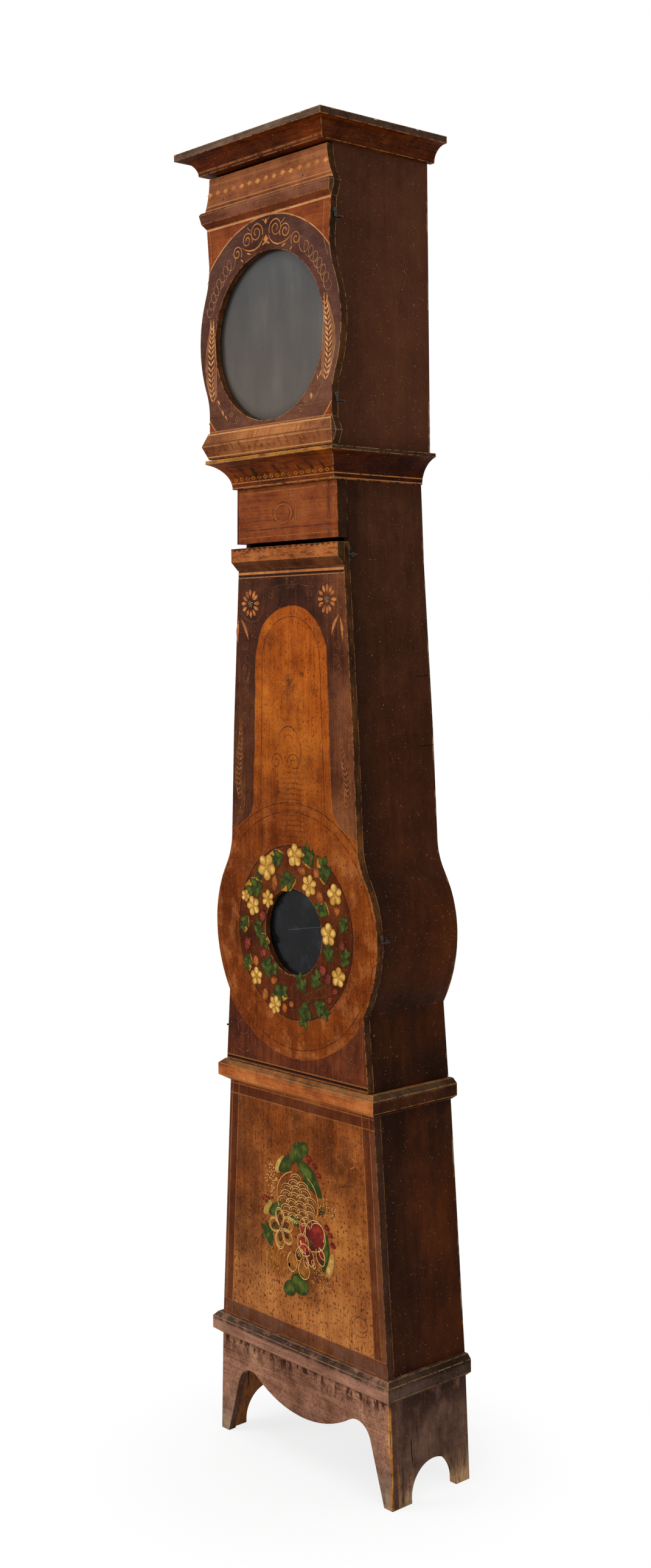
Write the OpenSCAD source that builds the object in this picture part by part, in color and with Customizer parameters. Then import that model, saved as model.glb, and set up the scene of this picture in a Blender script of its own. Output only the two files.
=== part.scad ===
// Painted pine longcase clock with a violin-shaped trunk, its iron cage
// movement, pendulum and two weights. +Z is up, the front faces -Y.
// Depths are measured forward from the back plane of the case.

/* [Overall] */
// Height of the case from the floor to the top of the cornice
total_h = 2300; // [2150:10:2450]
// Width over the cornice
cornice_w = 394; // [380:2:430]
// Depth of the cornice from its front to its rear lap
cornice_d = 291; // [280:1:320]
// How far the cornice laps behind the back of the case
cornice_lap = 7; // [0:1:12]

/* [Plinth and base] */
// Width over the feet at the floor
foot_w = 452; // [430:2:480]
// Width where the plinth meets the base box
plinth_top_w = 438; // [425:1:450]
// Height of that meeting line
plinth_h = 196; // [180:1:220]
// Width of the base box at its top
base_top_w = 377; // [370:1:390]
// Height of the top of the base box
base_top = 672; // [600:1:720]
// Depth of plinth and base box, front board included
base_d = 181; // [175:1:200]
// Thickness of the plinth and base boards
base_t = 15; // [12:1:20]
// Height of the lowest point of the apron
apron_z = 86; // [70:1:100]
// Height of the two arches in the apron
apron_arch_z = 126; // [115:1:140]
// Distance of each arch from the middle
apron_arch_x = 141; // [130:1:150]
// Radius of each arch
apron_arch_r = 34; // [25:1:40]
// Width left for each front foot at the floor
foot_tip = 20; // [15:1:35]
// Radius of the arch in each side of the plinth
side_arch_r = 52; // [40:1:56]
// Height of that arch
side_arch_h = 60; // [56:1:80]
// Distance of that arch's middle from the back
side_arch_d = 84; // [76:1:90]
// Projection of the lower rail
lower_rail_out = 13.5; // [8:0.5:20]
// Projection of the middle rail
middle_rail_out = 16.5; // [10:0.5:22]

/* [Trunk] */
// Width of the trunk at its top
trunk_top_w = 265; // [255:1:285]
// Width of the trunk door at its top
door_top_w = 281; // [275:1:295]
// Width of the trunk door halfway down its shoulders
door_mid_w = 317; // [305:1:325]
// Width of the trunk door just above the belly
door_neck_w = 333; // [325:1:345]
// Width of the trunk door across the belly
belly_w = 426; // [410:1:436]
// Radius of the upper flank of the belly
belly_r = 190; // [180:1:220]
// Radius of the lower flank of the belly
belly_low_r = 235; // [220:1:260]
// Height of the middle of the belly
belly_z = 932; // [920:1:960]
// Height of the notch below the belly
notch_z = 808; // [795:1:820]
// Width of the trunk door at its bottom edge
door_foot_w = 375; // [365:1:385]
// Height of the trunk door's top edge
door_top = 1599; // [1570:1:1620]
// Thickness of both door boards
door_t = 14; // [10:1:18]
// Depth of the trunk sides, from the back to behind the door
trunk_d = 176; // [165:1:200]
// Thickness of the trunk and hood sides
side_t = 12; // [9:1:14]
// How far the trunk door stands out over the sides
door_over = 2.5; // [1:0.5:4]
// Radius of the glazed porthole in the trunk door
porthole_r = 75.5; // [60:0.5:85]
// Height of the fixed frieze block above the trunk door
frieze_h = 97; // [80:1:105]
// Thickness of the frieze block
frieze_t = 22; // [16:1:26]

/* [Hood] */
// Height of the bottom of the moulding that carries the hood
shelf_z = 1704; // [1680:1:1730]
// Height of that moulding
shelf_h = 52; // [44:1:60]
// Projection of that moulding
shelf_out = 37; // [32:1:42]
// Width over the hood sides
hood_w = 311; // [300:1:325]
// Depth of the hood sides
hood_d = 220; // [205:1:240]
// Height of the cornice
cornice_h = 40; // [34:1:50]
// Radius of the glazed opening in the hood door
dial_glass_r = 145.5; // [130:0.5:147]
// Height of the centre of the dial
dial_z = 1959; // [1945:1:1970]
// Width of the hood door across its belly
hood_belly_w = 377; // [370:1:390]
// Radius of the hood door's belly
hood_belly_r = 220; // [212:1:240]
// Height of the middle of that belly
hood_belly_z = 1962; // [1950:1:1970]
// Width of the hood door at its top edge
hood_door_top_w = 316; // [310:1:330]

/* [Movement] */
// Length from the suspension to the middle of the bob
pendulum_l = 1130; // [1080:5:1135]
// Radius of the bob
bob_r = 80; // [60:1:90]
// Radius of the winding drums
drum_r = 26; // [22:0.5:28]
// Teeth on each great wheel
great_teeth = 96; // [96]
// Teeth on the minute wheel and the third wheel
wheel_teeth = 60; // [60]
// Teeth on the pin wheel
pin_teeth = 56; // [56]
// Leaves on each pinion
leaves = 8; // [8]
// Teeth on the escape wheel
escape_teeth = 30; // [30]
// Radius of the weights
weight_r = 38; // [30:1:39]
// Height of each weight's iron body
weight_h = 190; // [120:5:220]
// Height of the top of each weight at rest
weight_top = 1400; // [1300:10:1500]
// Radius of the bell's rim
bell_r = 60; // [45:1:65]

/* [Hidden] */

// Smoothness of true round surfaces
$fn = 64;

pine = "saddlebrown";
dark_pine = "#4a2d1e";
iron = "dimgray";
brass_colour = "goldenrod";

// Clearances
door_gap = 1;       // behind each closed door
seam = 2;           // above and below each door
run = 0.08;         // round a turning arbor
free = 0.4;         // between wheels in mesh

back_y = cornice_d / 2 - cornice_lap;
back_t = 8;
base_front_in = base_d - base_t;

// Places along the front
door_in = trunk_d + door_gap;
door_front = door_in + door_t;
hood_door_in = hood_d + door_gap;
hood_door_front = hood_door_in + door_t;

// Rails: height of the flat face and of the two chamfers
rail_chamfer = 8;
lower_rail_z = plinth_h - 22;
lower_rail_h = 40;
middle_rail_z = base_top - 31;
middle_rail_h = 39;
door_bottom = middle_rail_z + middle_rail_h + seam;

// Hood
hood_z = shelf_z + shelf_h;
cornice_z = total_h - cornice_h;
cornice_band = 12;
hood_top_t = 12;
hood_side_top = total_h - hood_top_t;
hood_bar_z = 2168;
hood_bar_h = 29;
lower_bar_h = 46;
hood_door_bottom = hood_z + seam;
hood_door_top = cornice_z - 2 * seam;
bar_out = 11;

// Movement
plate_t = 4;
seat_t = 20;
seat_z = 1800;
cage_w = 236;
cage_in = 45;
cage_out = 150;
cage_z = seat_z + seat_t;
train_x = 52;
module_big = 1.25;
great_r = great_teeth * module_big / 2;
big_pinion_r = leaves * module_big / 2;
wheel_r = wheel_teeth / 2;
pinion_r = leaves / 2;
mesh_big = great_r + big_pinion_r + free;
mesh_small = wheel_r + pinion_r + free;
drum_z = dial_z - sqrt(mesh_big * mesh_big - train_x * train_x);
third_z = dial_z + mesh_small;
escape_z = third_z + mesh_small;
escape_r = 22;
anchor_z = escape_z + 33;
cage_top = anchor_z + 8;
pin_wheel_z = drum_z + mesh_big;
pin_wheel_r = pin_teeth / 2;
fly_z = pin_wheel_z + pin_wheel_r + pinion_r + free;
arbor_r = 3;
bar_t = 4;
bar_w = 13;
line_r = 0.75;
line_x = train_x + drum_r + line_r + 0.05;
line_d = 97;
pendulum_d = 30;
suspension_z = anchor_z;
bob_z = suspension_z - pendulum_l;
cannon_r = 7.2;
motion_r = 21.6;
motion_pinion_r = 5.8;
hour_wheel_r = 23;
motion_z = dial_z - motion_r - cannon_r - free;
motion_d = cage_out + bar_t + 3;
hour_wheel_d = motion_d + 6;
hammer_x = 88;
hammer_z = cage_top + plate_t + 12;
bell_z = cage_top + plate_t + 30;
bell_d = 97;
weight_hook = 24;
tail_d = line_d - 2.5;

function yd(d) = back_y - d;
function mix(a, b, t) = a + (b - a) * t;

// Points along an arc in the plane of a board, from angle a to angle b
function arc(cx, cz, r, a, b, n = 10) =
    [for (i = [0 : n]) let (t = mix(a, b, i / n)) [cx + r * cos(t), cz + r * sin(t)]];

// Radius of the hollow that meets the line x = x0 upright at a height dz away
// from a belly of radius r whose centre lies at cx
function hollow_r(x0, dz, cx, r) = (pow(x0 - cx, 2) + dz * dz - r * r) / (2 * (r - x0 + cx));

function mirrored(pts) = concat(pts, [for (i = [len(pts) - 1 : -1 : 0]) [-pts[i][0], pts[i][1]]]);
function shifted(pts, dx) = [for (p = pts) [p[0] + dx, p[1]]];
function reversed(pts) = [for (i = [len(pts) - 1 : -1 : 0]) pts[i]];

// Half width of the plinth and base box at height z
function base_x(z) = z < plinth_h
    ? mix(foot_w, plinth_top_w, z / plinth_h) / 2
    : mix(plinth_top_w, base_top_w, (z - plinth_h) / (base_top - plinth_h)) / 2;

// Right-hand edge of the trunk door, from its bottom corner to its top corner
belly_cx = belly_w / 2 - belly_r;
belly_low_cx = belly_w / 2 - belly_low_r;
neck_z = belly_z + 163;
neck_r = hollow_r(door_neck_w / 2, neck_z - belly_z, belly_cx, belly_r);
neck_a = atan2(neck_z - belly_z, door_neck_w / 2 + neck_r - belly_cx);
notch_a = asin((belly_z - notch_z) / belly_low_r);
trunk_edge = concat(
    [[door_foot_w / 2, door_bottom]],
    arc(belly_low_cx, belly_z, belly_low_r, -notch_a, 0, 10),
    arc(belly_cx, belly_z, belly_r, 3, neck_a, 8),
    arc(door_neck_w / 2 + neck_r, neck_z, neck_r, 180 + neck_a * 0.8, 180, 6),
    [[door_mid_w / 2, 1279], [door_top_w / 2, 1560], [door_top_w / 2 - 1.5, door_top]]);

// Right-hand edge of the hood door, from its bottom corner to its top corner
hood_belly_cx = hood_belly_w / 2 - hood_belly_r;
hood_waist_x = 163.5;
hood_neck_x = 161;
waist_dz = 126;
neck_dz = 140;
waist_r = hollow_r(hood_waist_x, waist_dz, hood_belly_cx, hood_belly_r);
hood_neck_r = hollow_r(hood_neck_x, neck_dz, hood_belly_cx, hood_belly_r);
waist_a = atan2(waist_dz, hood_waist_x + waist_r - hood_belly_cx);
hood_neck_a = atan2(neck_dz, hood_neck_x + hood_neck_r - hood_belly_cx);
flare_x = 15;
flare_h = hood_door_top - hood_bar_z - hood_bar_h;
flare_r = (flare_x * flare_x + flare_h * flare_h) / (2 * flare_x);
lower_bar_edge = [[164.5, hood_door_bottom], [174, hood_door_bottom + lower_bar_h / 2],
    [hood_waist_x + 0.5, hood_door_bottom + lower_bar_h]];
hood_edge = concat(lower_bar_edge,
    arc(hood_waist_x + waist_r, hood_belly_z - waist_dz, waist_r, 180, 180 - waist_a, 6),
    arc(hood_belly_cx, hood_belly_z, hood_belly_r, -waist_a, hood_neck_a, 18),
    arc(hood_neck_x + hood_neck_r, hood_belly_z + neck_dz, hood_neck_r, 180 + hood_neck_a, 180, 6),
    [[166.5, hood_bar_z], [171, hood_bar_z + 9], [175.5, hood_bar_z + hood_bar_h - 4]],
    arc(hood_door_top_w / 2 + flare_r, hood_door_top, flare_r,
        180 + acos(1 - flare_x / flare_r), 180, 6));

// Hinge pins: both stand just outside the door's edge, halfway through its board.
// The trunk door's pins lean, because the upper one sits at the narrow top.
hood_pin_x = 168.5;
hood_pin_d = hood_door_in + door_t / 2;
hood_pin_z = [1837, 2142];
trunk_pin_d = door_in + door_t / 2;
trunk_pin_low = [belly_w / 2 + 3.2, 941];
trunk_pin_top = [door_top_w / 2 + 4.7, 1585];
trunk_lean = atan2(trunk_pin_low[0] - trunk_pin_top[0], trunk_pin_top[1] - trunk_pin_low[1]);
pin_r = 1.5;
eye_r = 3.2;
eye_h = 5;

// A board cut from an outline in x and z, between two depths
module board(d0, d1) translate([0, yd(d0), 0]) rotate([90, 0, 0]) linear_extrude(d1 - d0) children();
// A length of stock with a section in depth and z, between two x
module stock(x0, x1)
    translate([x1, back_y, 0]) rotate([0, 0, -90]) rotate([90, 0, 0]) linear_extrude(x1 - x0) children();
// A prism over an outline in x and depth, between two heights
module slab(z0, z1)
    translate([0, back_y, z0]) mirror([0, 1, 0]) linear_extrude(z1 - z0) children();
// A rod along the depth of the case
module rod_y(x, z, d0, d1, r, fn = 32)
    translate([x, yd(d0), z]) rotate([90, 0, 0]) cylinder(h = d1 - d0, r = r, $fn = fn);
module rod_x(x0, x1, d, z, r)
    translate([x0, yd(d), z]) rotate([0, 90, 0]) cylinder(h = x1 - x0, r = r, $fn = 24);
module both() { children(); mirror([1, 0, 0]) children(); }

// A moulding mitred round the front and both sides. The first child is its section
// with 0 at the outermost face; w and d are the outer half width and depth.
module mitred(w, d, w_in, d_in, d_back) {
    reach = w - w_in;
    z0 = -10;
    z1 = total_h + 10;
    intersection() {
        stock(-w, w) translate([d, 0]) children();
        slab(z0, z1) polygon([[-w, d], [w, d], [w_in, d - reach], [w_in, d_in],
            [-w_in, d_in], [-w_in, d - reach]]);
    }
    both() intersection() {
        board(d_back, d) translate([w, 0]) children();
        slab(z0, z1) polygon([[w, d], [w, d_back], [w_in, d_back], [w_in, d - reach]]);
    }
}

// Rail with a chamfer above and below its flat face
module rail_section(reach, out, z, h) polygon([[-reach, z], [-out, z], [0, z + rail_chamfer + 2],
    [0, z + h - rail_chamfer], [-out * 0.55, z + h], [-reach, z + h]]);

// Solid space inside the plinth and base, less the boards
module base_core() board(-20, base_d) polygon(mirrored([[base_x(-1), -1], [base_x(plinth_h), plinth_h],
    [base_x(base_top + 20), base_top + 20]]));

module plinth_front() color(pine) board(base_front_in, base_d) difference() {
    polygon(mirrored([[base_x(0), 0], [base_x(plinth_h), plinth_h]]));
    apron_cut();
}

// The apron's lower edge: a hanging belly between two round arches
module apron_cut() {
    rise = apron_arch_z - apron_z;
    sum_r = (apron_arch_x * apron_arch_x + rise * rise) / (2 * rise);
    drop_r = sum_r - apron_arch_r;
    arch_cz = apron_arch_z - apron_arch_r;
    turn = atan2(apron_arch_x, apron_z + drop_r - arch_cz);
    tip_x = foot_w / 2 - foot_tip;
    reach = norm([tip_x - apron_arch_x, arch_cz]);
    leave = acos(apron_arch_r / reach) - atan2(arch_cz, tip_x - apron_arch_x);
    polygon(mirrored(concat([[tip_x, -1]],
        arc(apron_arch_x, arch_cz, apron_arch_r, leave, 90 + turn, 12),
        arc(0, apron_z + drop_r, drop_r, 270 + turn, 270, 8))));
}

module plinth_side() difference() {
    board(0, base_front_in) polygon([[base_x(0) - base_t, 0], [base_x(0), 0],
        [base_x(plinth_h), plinth_h], [base_x(plinth_h) - base_t, plinth_h]]);
    stock(0, foot_w / 2 + 1) union() {
        translate([side_arch_d, side_arch_h - side_arch_r]) circle(side_arch_r);
        translate([side_arch_d - side_arch_r, -1])
            square([2 * side_arch_r, side_arch_h - side_arch_r + 1]);
    }
}
module plinth_side_right() color(dark_pine) plinth_side();
module plinth_side_left() color(dark_pine) mirror([1, 0, 0]) plinth_side();

module rail(z, h, out) {
    w = base_x(z + h / 2) + out;
    difference() {
        mitred(w, base_d + out, w - out - 12, base_d - 12, 0) rail_section(out + 12, out, z, h);
        base_core();
    }
}
module lower_rail() color(dark_pine) rail(lower_rail_z, lower_rail_h, lower_rail_out);
module middle_rail() color(pine) rail(middle_rail_z, middle_rail_h, middle_rail_out);

module base_front_panel() color(pine) board(base_front_in, base_d)
    polygon(mirrored([[base_x(plinth_h), plinth_h], [base_x(base_top), base_top]]));
module base_side() board(0, base_front_in)
    polygon([[base_x(plinth_h) - base_t, plinth_h], [base_x(plinth_h), plinth_h],
        [base_x(base_top), base_top], [base_x(base_top) - base_t, base_top]]);
module base_side_right() color(dark_pine) base_side();
module base_side_left() color(dark_pine) mirror([1, 0, 0]) base_side();
floor_z = plinth_h + 4;
module base_floor() color(pine) board(back_t, base_front_in) polygon(mirrored([
    [base_x(floor_z) - base_t, floor_z], [base_x(floor_z + base_t) - base_t, floor_z + base_t]]));
module base_back_board() color(dark_pine) board(0, back_t) polygon(mirrored([
    [base_x(plinth_h) - base_t, plinth_h], [base_x(base_top) - base_t, base_top]]));

// Outer edge of the trunk side: the door's edge set in, and straight up past the frieze
trunk_side_edge = concat([[door_foot_w / 2 - door_over, base_top]],
    shifted([for (p = trunk_edge) if (p[1] < 1570) p], -door_over),
    [[trunk_top_w / 2, shelf_z], [trunk_top_w / 2, seat_z]]);
module trunk_side() board(0, trunk_d)
    polygon(concat(trunk_side_edge, reversed(shifted(trunk_side_edge, -side_t))));
module trunk_side_right() color(dark_pine) trunk_side();
module trunk_side_left() color(dark_pine) mirror([1, 0, 0]) trunk_side();
module trunk_back_board() color(dark_pine) board(0, back_t)
    polygon(mirrored(shifted(trunk_side_edge, -side_t)));
frieze_z = shelf_z - frieze_h;
module trunk_frieze_block() color(pine) board(trunk_d, trunk_d + frieze_t)
    polygon(mirrored([[trunk_top_w / 2 + 2.5, frieze_z], [trunk_top_w / 2 + 0.5, shelf_z]]));

// Shelf moulding under the hood: a thin band over a deep hollow
shelf_w = trunk_top_w / 2 + shelf_out;
shelf_d = hood_d + 21;
shelf_band = 7;
module shelf_section(reach) {
    span = shelf_out - 5;
    rise = shelf_h - shelf_band;
    r = (span * span + rise * rise) / (2 * span);
    difference() {
        translate([-reach, shelf_z]) square([reach, shelf_h]);
        translate([r - span - 2, shelf_z]) circle(r, $fn = 96);
        translate([-2, shelf_z - 1]) square([3, rise + 1]);
    }
}
module hood_shelf_moulding() color(pine)
    mitred(shelf_w, shelf_d, trunk_top_w / 2, trunk_d, 0) shelf_section(shelf_d - trunk_d);

module hood_side() board(0, hood_d)
    translate([hood_w / 2 - side_t, hood_z]) square([side_t, hood_side_top - hood_z]);
module hood_side_right() color(dark_pine) hood_side();
module hood_side_left() color(dark_pine) mirror([1, 0, 0]) hood_side();
// Notched at the bottom to stand over the trunk
module hood_back_board() color(dark_pine) board(0, back_t) polygon(mirrored([
    [trunk_top_w / 2, seat_z], [trunk_top_w / 2, hood_z],
    [hood_w / 2 - side_t, hood_z], [hood_w / 2 - side_t, hood_side_top]]));
module hood_top_board() color(dark_pine) board(-cornice_lap, hood_d)
    translate([-hood_w / 2, hood_side_top]) square([hood_w, hood_top_t]);

module cornice_section(reach) {
    hollow = cornice_h - cornice_band;
    difference() {
        translate([-reach, cornice_z]) square([reach, cornice_h]);
        translate([-3, cornice_z]) circle(hollow, $fn = 96);
        translate([-3, cornice_z - 1]) square([4, hollow + 1]);
    }
}
module cornice() color(pine) mitred(cornice_w / 2, cornice_d - cornice_lap, hood_w / 2, hood_d,
    -cornice_lap) cornice_section(cornice_d - cornice_lap - hood_d);

// Seat board on top of the trunk sides, with slots for both lines and the pendulum
seat_front = trunk_d;
line_slot_l = 62;
line_slot_w = 16;
module seat_board() color(pine) difference() {
    slab(seat_z, seat_z + seat_t) polygon(mirrored([[trunk_top_w / 2, back_t], [trunk_top_w / 2, seat_front]]));
    slab(seat_z - 1, seat_z + seat_t + 1) {
        both() translate([line_x - line_slot_w / 2, line_d - line_slot_l / 2])
            square([line_slot_w, line_slot_l]);
        translate([-35, back_t - 1]) square([70, pendulum_d - back_t + 8]);
    }
}

// Fixed ironwork: an L-shaped pintle at each hinge and the pivot pin of each hook
module pintle(x, d, x_face, lean) {
    back = 16;
    translate([x, yd(d), 0]) rotate([0, -lean, 0]) translate([0, 0, -eye_h - 3])
        cylinder(h = 2 * eye_h + 3, r = pin_r, $fn = 24);
    translate([x, yd(d), -eye_h - 2]) rotate([-90, 0, 0]) cylinder(h = back, r = pin_r, $fn = 24);
    rod_x(x_face, x + pin_r, d - back, -eye_h - 2, pin_r);
    rod_x(x_face, x_face + 1, d - back, -eye_h - 2, 4);
}
hook_l = 36;
hook_t = 3;
catch_drop = 4.4;    // the catch pin lies under the closed hook
hood_hook_z = 1828;
hood_hook_x = 167;
trunk_hook_z = 745;
trunk_hook_x = door_foot_w / 2 + 3;
module hook_pin(x, d, z, x_face) mirror([1, 0, 0]) {
    rod_x(x_face, x + hook_t + 1.2, d, z, 2);
    rod_x(x_face, x - 0.4, d, z, 4);
    rod_x(x + hook_t + 0.4, x + hook_t + 1.6, d, z, 4);
}
module case_ironwork() color(iron) {
    for (z = hood_pin_z) translate([0, 0, z]) pintle(hood_pin_x, hood_pin_d, hood_w / 2, 0);
    translate([0, 0, trunk_pin_low[1]])
        pintle(trunk_pin_low[0], trunk_pin_d, belly_w / 2 - door_over, trunk_lean);
    translate([0, 0, trunk_pin_top[1]])
        pintle(trunk_pin_top[0], trunk_pin_d, door_top_w / 2 - door_over - 0.5, trunk_lean);
    hook_pin(hood_hook_x, hood_door_in + door_t / 2 - hook_l, hood_hook_z, hood_w / 2);
    hook_pin(trunk_hook_x, trunk_pin_d - hook_l, trunk_hook_z, door_foot_w / 2 - door_over - 4);
}

// Eye that drops over a pin, with its tang to the door's edge, and the hook's catch pin
module eye(x, d, x_edge, lean) translate([x, yd(d), 0]) rotate([0, -lean, 0]) {
    difference() {
        union() {
            cylinder(h = eye_h, r = eye_r, $fn = 32);
            translate([x_edge - x, -1.5, 0]) cube([x - x_edge - pin_r - 0.3, 3, eye_h]);
        }
        translate([0, 0, -1]) cylinder(h = eye_h + 2, r = pin_r + run, $fn = 32);
    }
}
module catch_pin(x_edge, d, z, l) mirror([1, 0, 0]) rod_x(x_edge, x_edge + l, d, z, 1.6);

module hood_door_board() color(pine) difference() {
    board(hood_door_in, hood_door_front) polygon(mirrored(hood_edge));
    rod_y(0, dial_z, hood_door_in - 1, hood_door_front + 1, dial_glass_r, 96);
    rod_y(0, dial_z, hood_door_in - 1, hood_door_in + glass_t + 1, dial_glass_r + rebate, 96);
}
module hood_door_upper_bar() color(pine) intersection() {
    stock(-190, 190) polygon([[hood_door_front, hood_bar_z],
        [hood_door_front + bar_out - 2, hood_bar_z + 9],
        [hood_door_front + bar_out, hood_bar_z + hood_bar_h - 4],
        [hood_door_front + bar_out - 2, hood_bar_z + hood_bar_h],
        [hood_door_front, hood_bar_z + hood_bar_h]]);
    board(hood_door_front, hood_door_front + 20) polygon(mirrored([[166.5, hood_bar_z],
        [171, hood_bar_z + 9], [175.5, hood_bar_z + hood_bar_h - 4], [173, hood_bar_z + hood_bar_h]]));
}
module hood_door_lower_bar() color(pine) intersection() {
    stock(-190, 190) polygon([[hood_door_front, hood_door_bottom],
        [hood_door_front + 2, hood_door_bottom],
        [hood_door_front + bar_out, hood_door_bottom + lower_bar_h / 2],
        [hood_door_front + 3, hood_door_bottom + lower_bar_h],
        [hood_door_front, hood_door_bottom + lower_bar_h]]);
    board(hood_door_front, hood_door_front + 20) polygon(mirrored(lower_bar_edge));
}
glass_t = 2.5;
rebate = 5;
bead_t = 5;
module pane(z, r, d) rod_y(0, z, d + 0.3, d + 0.3 + glass_t, r + rebate - 0.5, 96);
module bead(z, r, d) translate([0, yd(d), z]) rotate([90, 0, 0]) difference() {
    translate([0, 0, -bead_t]) cylinder(h = bead_t, r = r + rebate + 8, $fn = 96);
    translate([0, 0, -bead_t - 1]) cylinder(h = bead_t + 2, r = r, $fn = 96);
}
module hood_door_glass() color("lightgray") pane(dial_z, dial_glass_r, hood_door_in);
// The hood's bead stays clear of the hood sides behind it
module hood_door_bead() color(dark_pine) intersection() {
    bead(dial_z, dial_glass_r, hood_door_in);
    board(hood_door_in - bead_t, hood_door_in) translate([side_t + seam - hood_w / 2, hood_z])
        square([hood_w - 2 * side_t - 2 * seam, 400]);
}
module hood_door_ironwork() color(iron) {
    for (i = [0, 1]) translate([0, 0, hood_pin_z[i]])
        eye(hood_pin_x, hood_pin_d, [hood_waist_x + 0.2, hood_neck_x + 3.8][i], 0);
    catch_pin(hood_waist_x + 0.3, hood_pin_d, hood_hook_z - catch_drop, 9);
}

// Iron hook on the left side: hangs from its pin, and goes up over the back of it and
// down onto the catch pin in front, with its lip beyond the pin
module hook(x, d, z) mirror([1, 0, 0]) translate([x, yd(d), z]) rotate([90, 0, 90]) difference() {
    union() {
        cylinder(h = hook_t, r = 4.5, $fn = 32);
        translate([-2.5, -hook_l - 5, 0]) cube([5, hook_l + 5, hook_t]);
        translate([-2.5, -hook_l - 5.4, 0]) cube([9.5, 3.2, hook_t]);
    }
    translate([0, 0, -1]) cylinder(h = hook_t + 2, r = 2 + run, $fn = 32);
}
module hood_hook() color(iron)
    hook(hood_hook_x, hood_door_in + door_t / 2 - hook_l, hood_hook_z);
module trunk_hook() color(iron) hook(trunk_hook_x, trunk_pin_d - hook_l, trunk_hook_z);

module trunk_door_board() color(pine) difference() {
    board(door_in, door_front) polygon(mirrored(trunk_edge));
    rod_y(0, belly_z - 3, door_in - 1, door_front + 1, porthole_r, 96);
    rod_y(0, belly_z - 3, door_in - 1, door_in + glass_t + 1, porthole_r + rebate, 96);
}
top_bar_h = 39;
module trunk_door_top_bar() color(pine) stock(-door_top_w / 2 - 2, door_top_w / 2 + 2) polygon([
    [door_front, door_top - top_bar_h], [door_front + 15, door_top - top_bar_h + 15],
    [door_front + 15, door_top], [door_front, door_top]]);
module trunk_door_glass() color("dimgray") pane(belly_z - 3, porthole_r, door_in);
module trunk_door_bead() color(dark_pine) bead(belly_z - 3, porthole_r, door_in);
module trunk_door_ironwork() color(iron) {
    translate([0, 0, trunk_pin_low[1]])
        eye(trunk_pin_low[0], trunk_pin_d, belly_w / 2 + 0.3, trunk_lean);
    translate([0, 0, trunk_pin_top[1]])
        eye(trunk_pin_top[0], trunk_pin_d, door_top_w / 2 - 0.7, trunk_lean);
    catch_pin(door_foot_w / 2 - 4.4, trunk_pin_d, trunk_hook_z - catch_drop, 12);
}

// Iron cage: two plates held apart by four square pillars
pillar = 8;
module movement_cage() color(iron) {
    difference() {
        slab(cage_z, cage_z + plate_t)
            polygon(mirrored([[cage_w / 2, cage_in - bar_t], [cage_w / 2, cage_out + bar_t]]));
        slab(cage_z - 1, cage_z + plate_t + 1) both()
            translate([line_x - line_slot_w / 2, line_d - line_slot_l / 2])
            square([line_slot_w, line_slot_l]);
    }
    difference() {
        slab(cage_top, cage_top + plate_t)
            polygon(mirrored([[cage_w / 2, cage_in - bar_t], [cage_w / 2, cage_out + bar_t]]));
        slab(cage_top - 1, cage_top + plate_t + 1)
            translate([hammer_x - 12, line_d - 8]) square([22, 16]);
        slab(cage_top - 1, cage_top + plate_t + 1) translate([0, bell_d]) circle(4 + run);
    }
    for (x = [-cage_w / 2, cage_w / 2 - pillar], d = [cage_in, cage_out - pillar])
        slab(cage_z + plate_t, cage_top) translate([x, d]) square(pillar);
    difference() {
        for (d = [line_d - 20, line_d + 16]) slab(cage_top + plate_t, hammer_z + 6)
            translate([hammer_x - 5, d]) square([10, 4]);
        rod_y(hammer_x, hammer_z, line_d - 22, line_d + 22, 2.5 + run);
    }
}

// Upright bars, front and back, that the arbors turn in
module bar_pair(x, holes) difference() {
    for (d = [cage_in - bar_t, cage_out]) board(d, d + bar_t)
        translate([x - bar_w / 2, cage_z + plate_t]) square([bar_w, cage_top - cage_z - plate_t]);
    for (z = holes) rod_y(x, z, cage_in - 10, cage_out + 10, arbor_r + run);
}
module arbor_bars() color(iron) {
    bar_pair(-train_x, [drum_z]);
    bar_pair(0, [dial_z, third_z, escape_z, anchor_z]);
    rod_y(0, motion_z, cage_out + 1, motion_d + 12, 2);
    bar_pair(train_x, [drum_z, pin_wheel_z, fly_z]);
}

// A toothed wheel with arms, its tips at pitch radius r
module wheel_shape(r, teeth, rim = 5) {
    root = r - 2.2;
    difference() {
        union() {
            circle(root, $fn = 96);
            for (i = [0 : teeth - 1]) rotate(i * 360 / teeth)
                polygon([[root - 0.5, -r * 1.7 / teeth], [r, -r * 0.8 / teeth],
                    [r, r * 0.8 / teeth], [root - 0.5, r * 1.7 / teeth]]);
        }
        circle(root - rim, $fn = 96);
    }
    for (a = [0, 90]) rotate(a) square([2 * (root - rim + 1), rim], center = true);
    circle(min(9, r - 1.5));
}
module wheel(x, z, d, r, teeth, t = 2.5) board(d, d + t) translate([x, z]) difference() {
    wheel_shape(r, teeth);
    circle(arbor_r - 0.5);
}
module pinion(x, z, d, r, l) board(d, d + l) translate([x, z]) difference() {
    union() {
        circle(r * 0.62);
        for (i = [0 : leaves - 1]) rotate(i * 360 / leaves)
            translate([r * 0.3, -r * 0.16]) square([r * 0.7, r * 0.32]);
    }
    circle(arbor_r - 1.2);
}
module arbor(x, z, d0 = cage_in - bar_t + 0.5, d1 = cage_out + bar_t - 0.5) rod_y(x, z, d0, d1, arbor_r);

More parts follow.
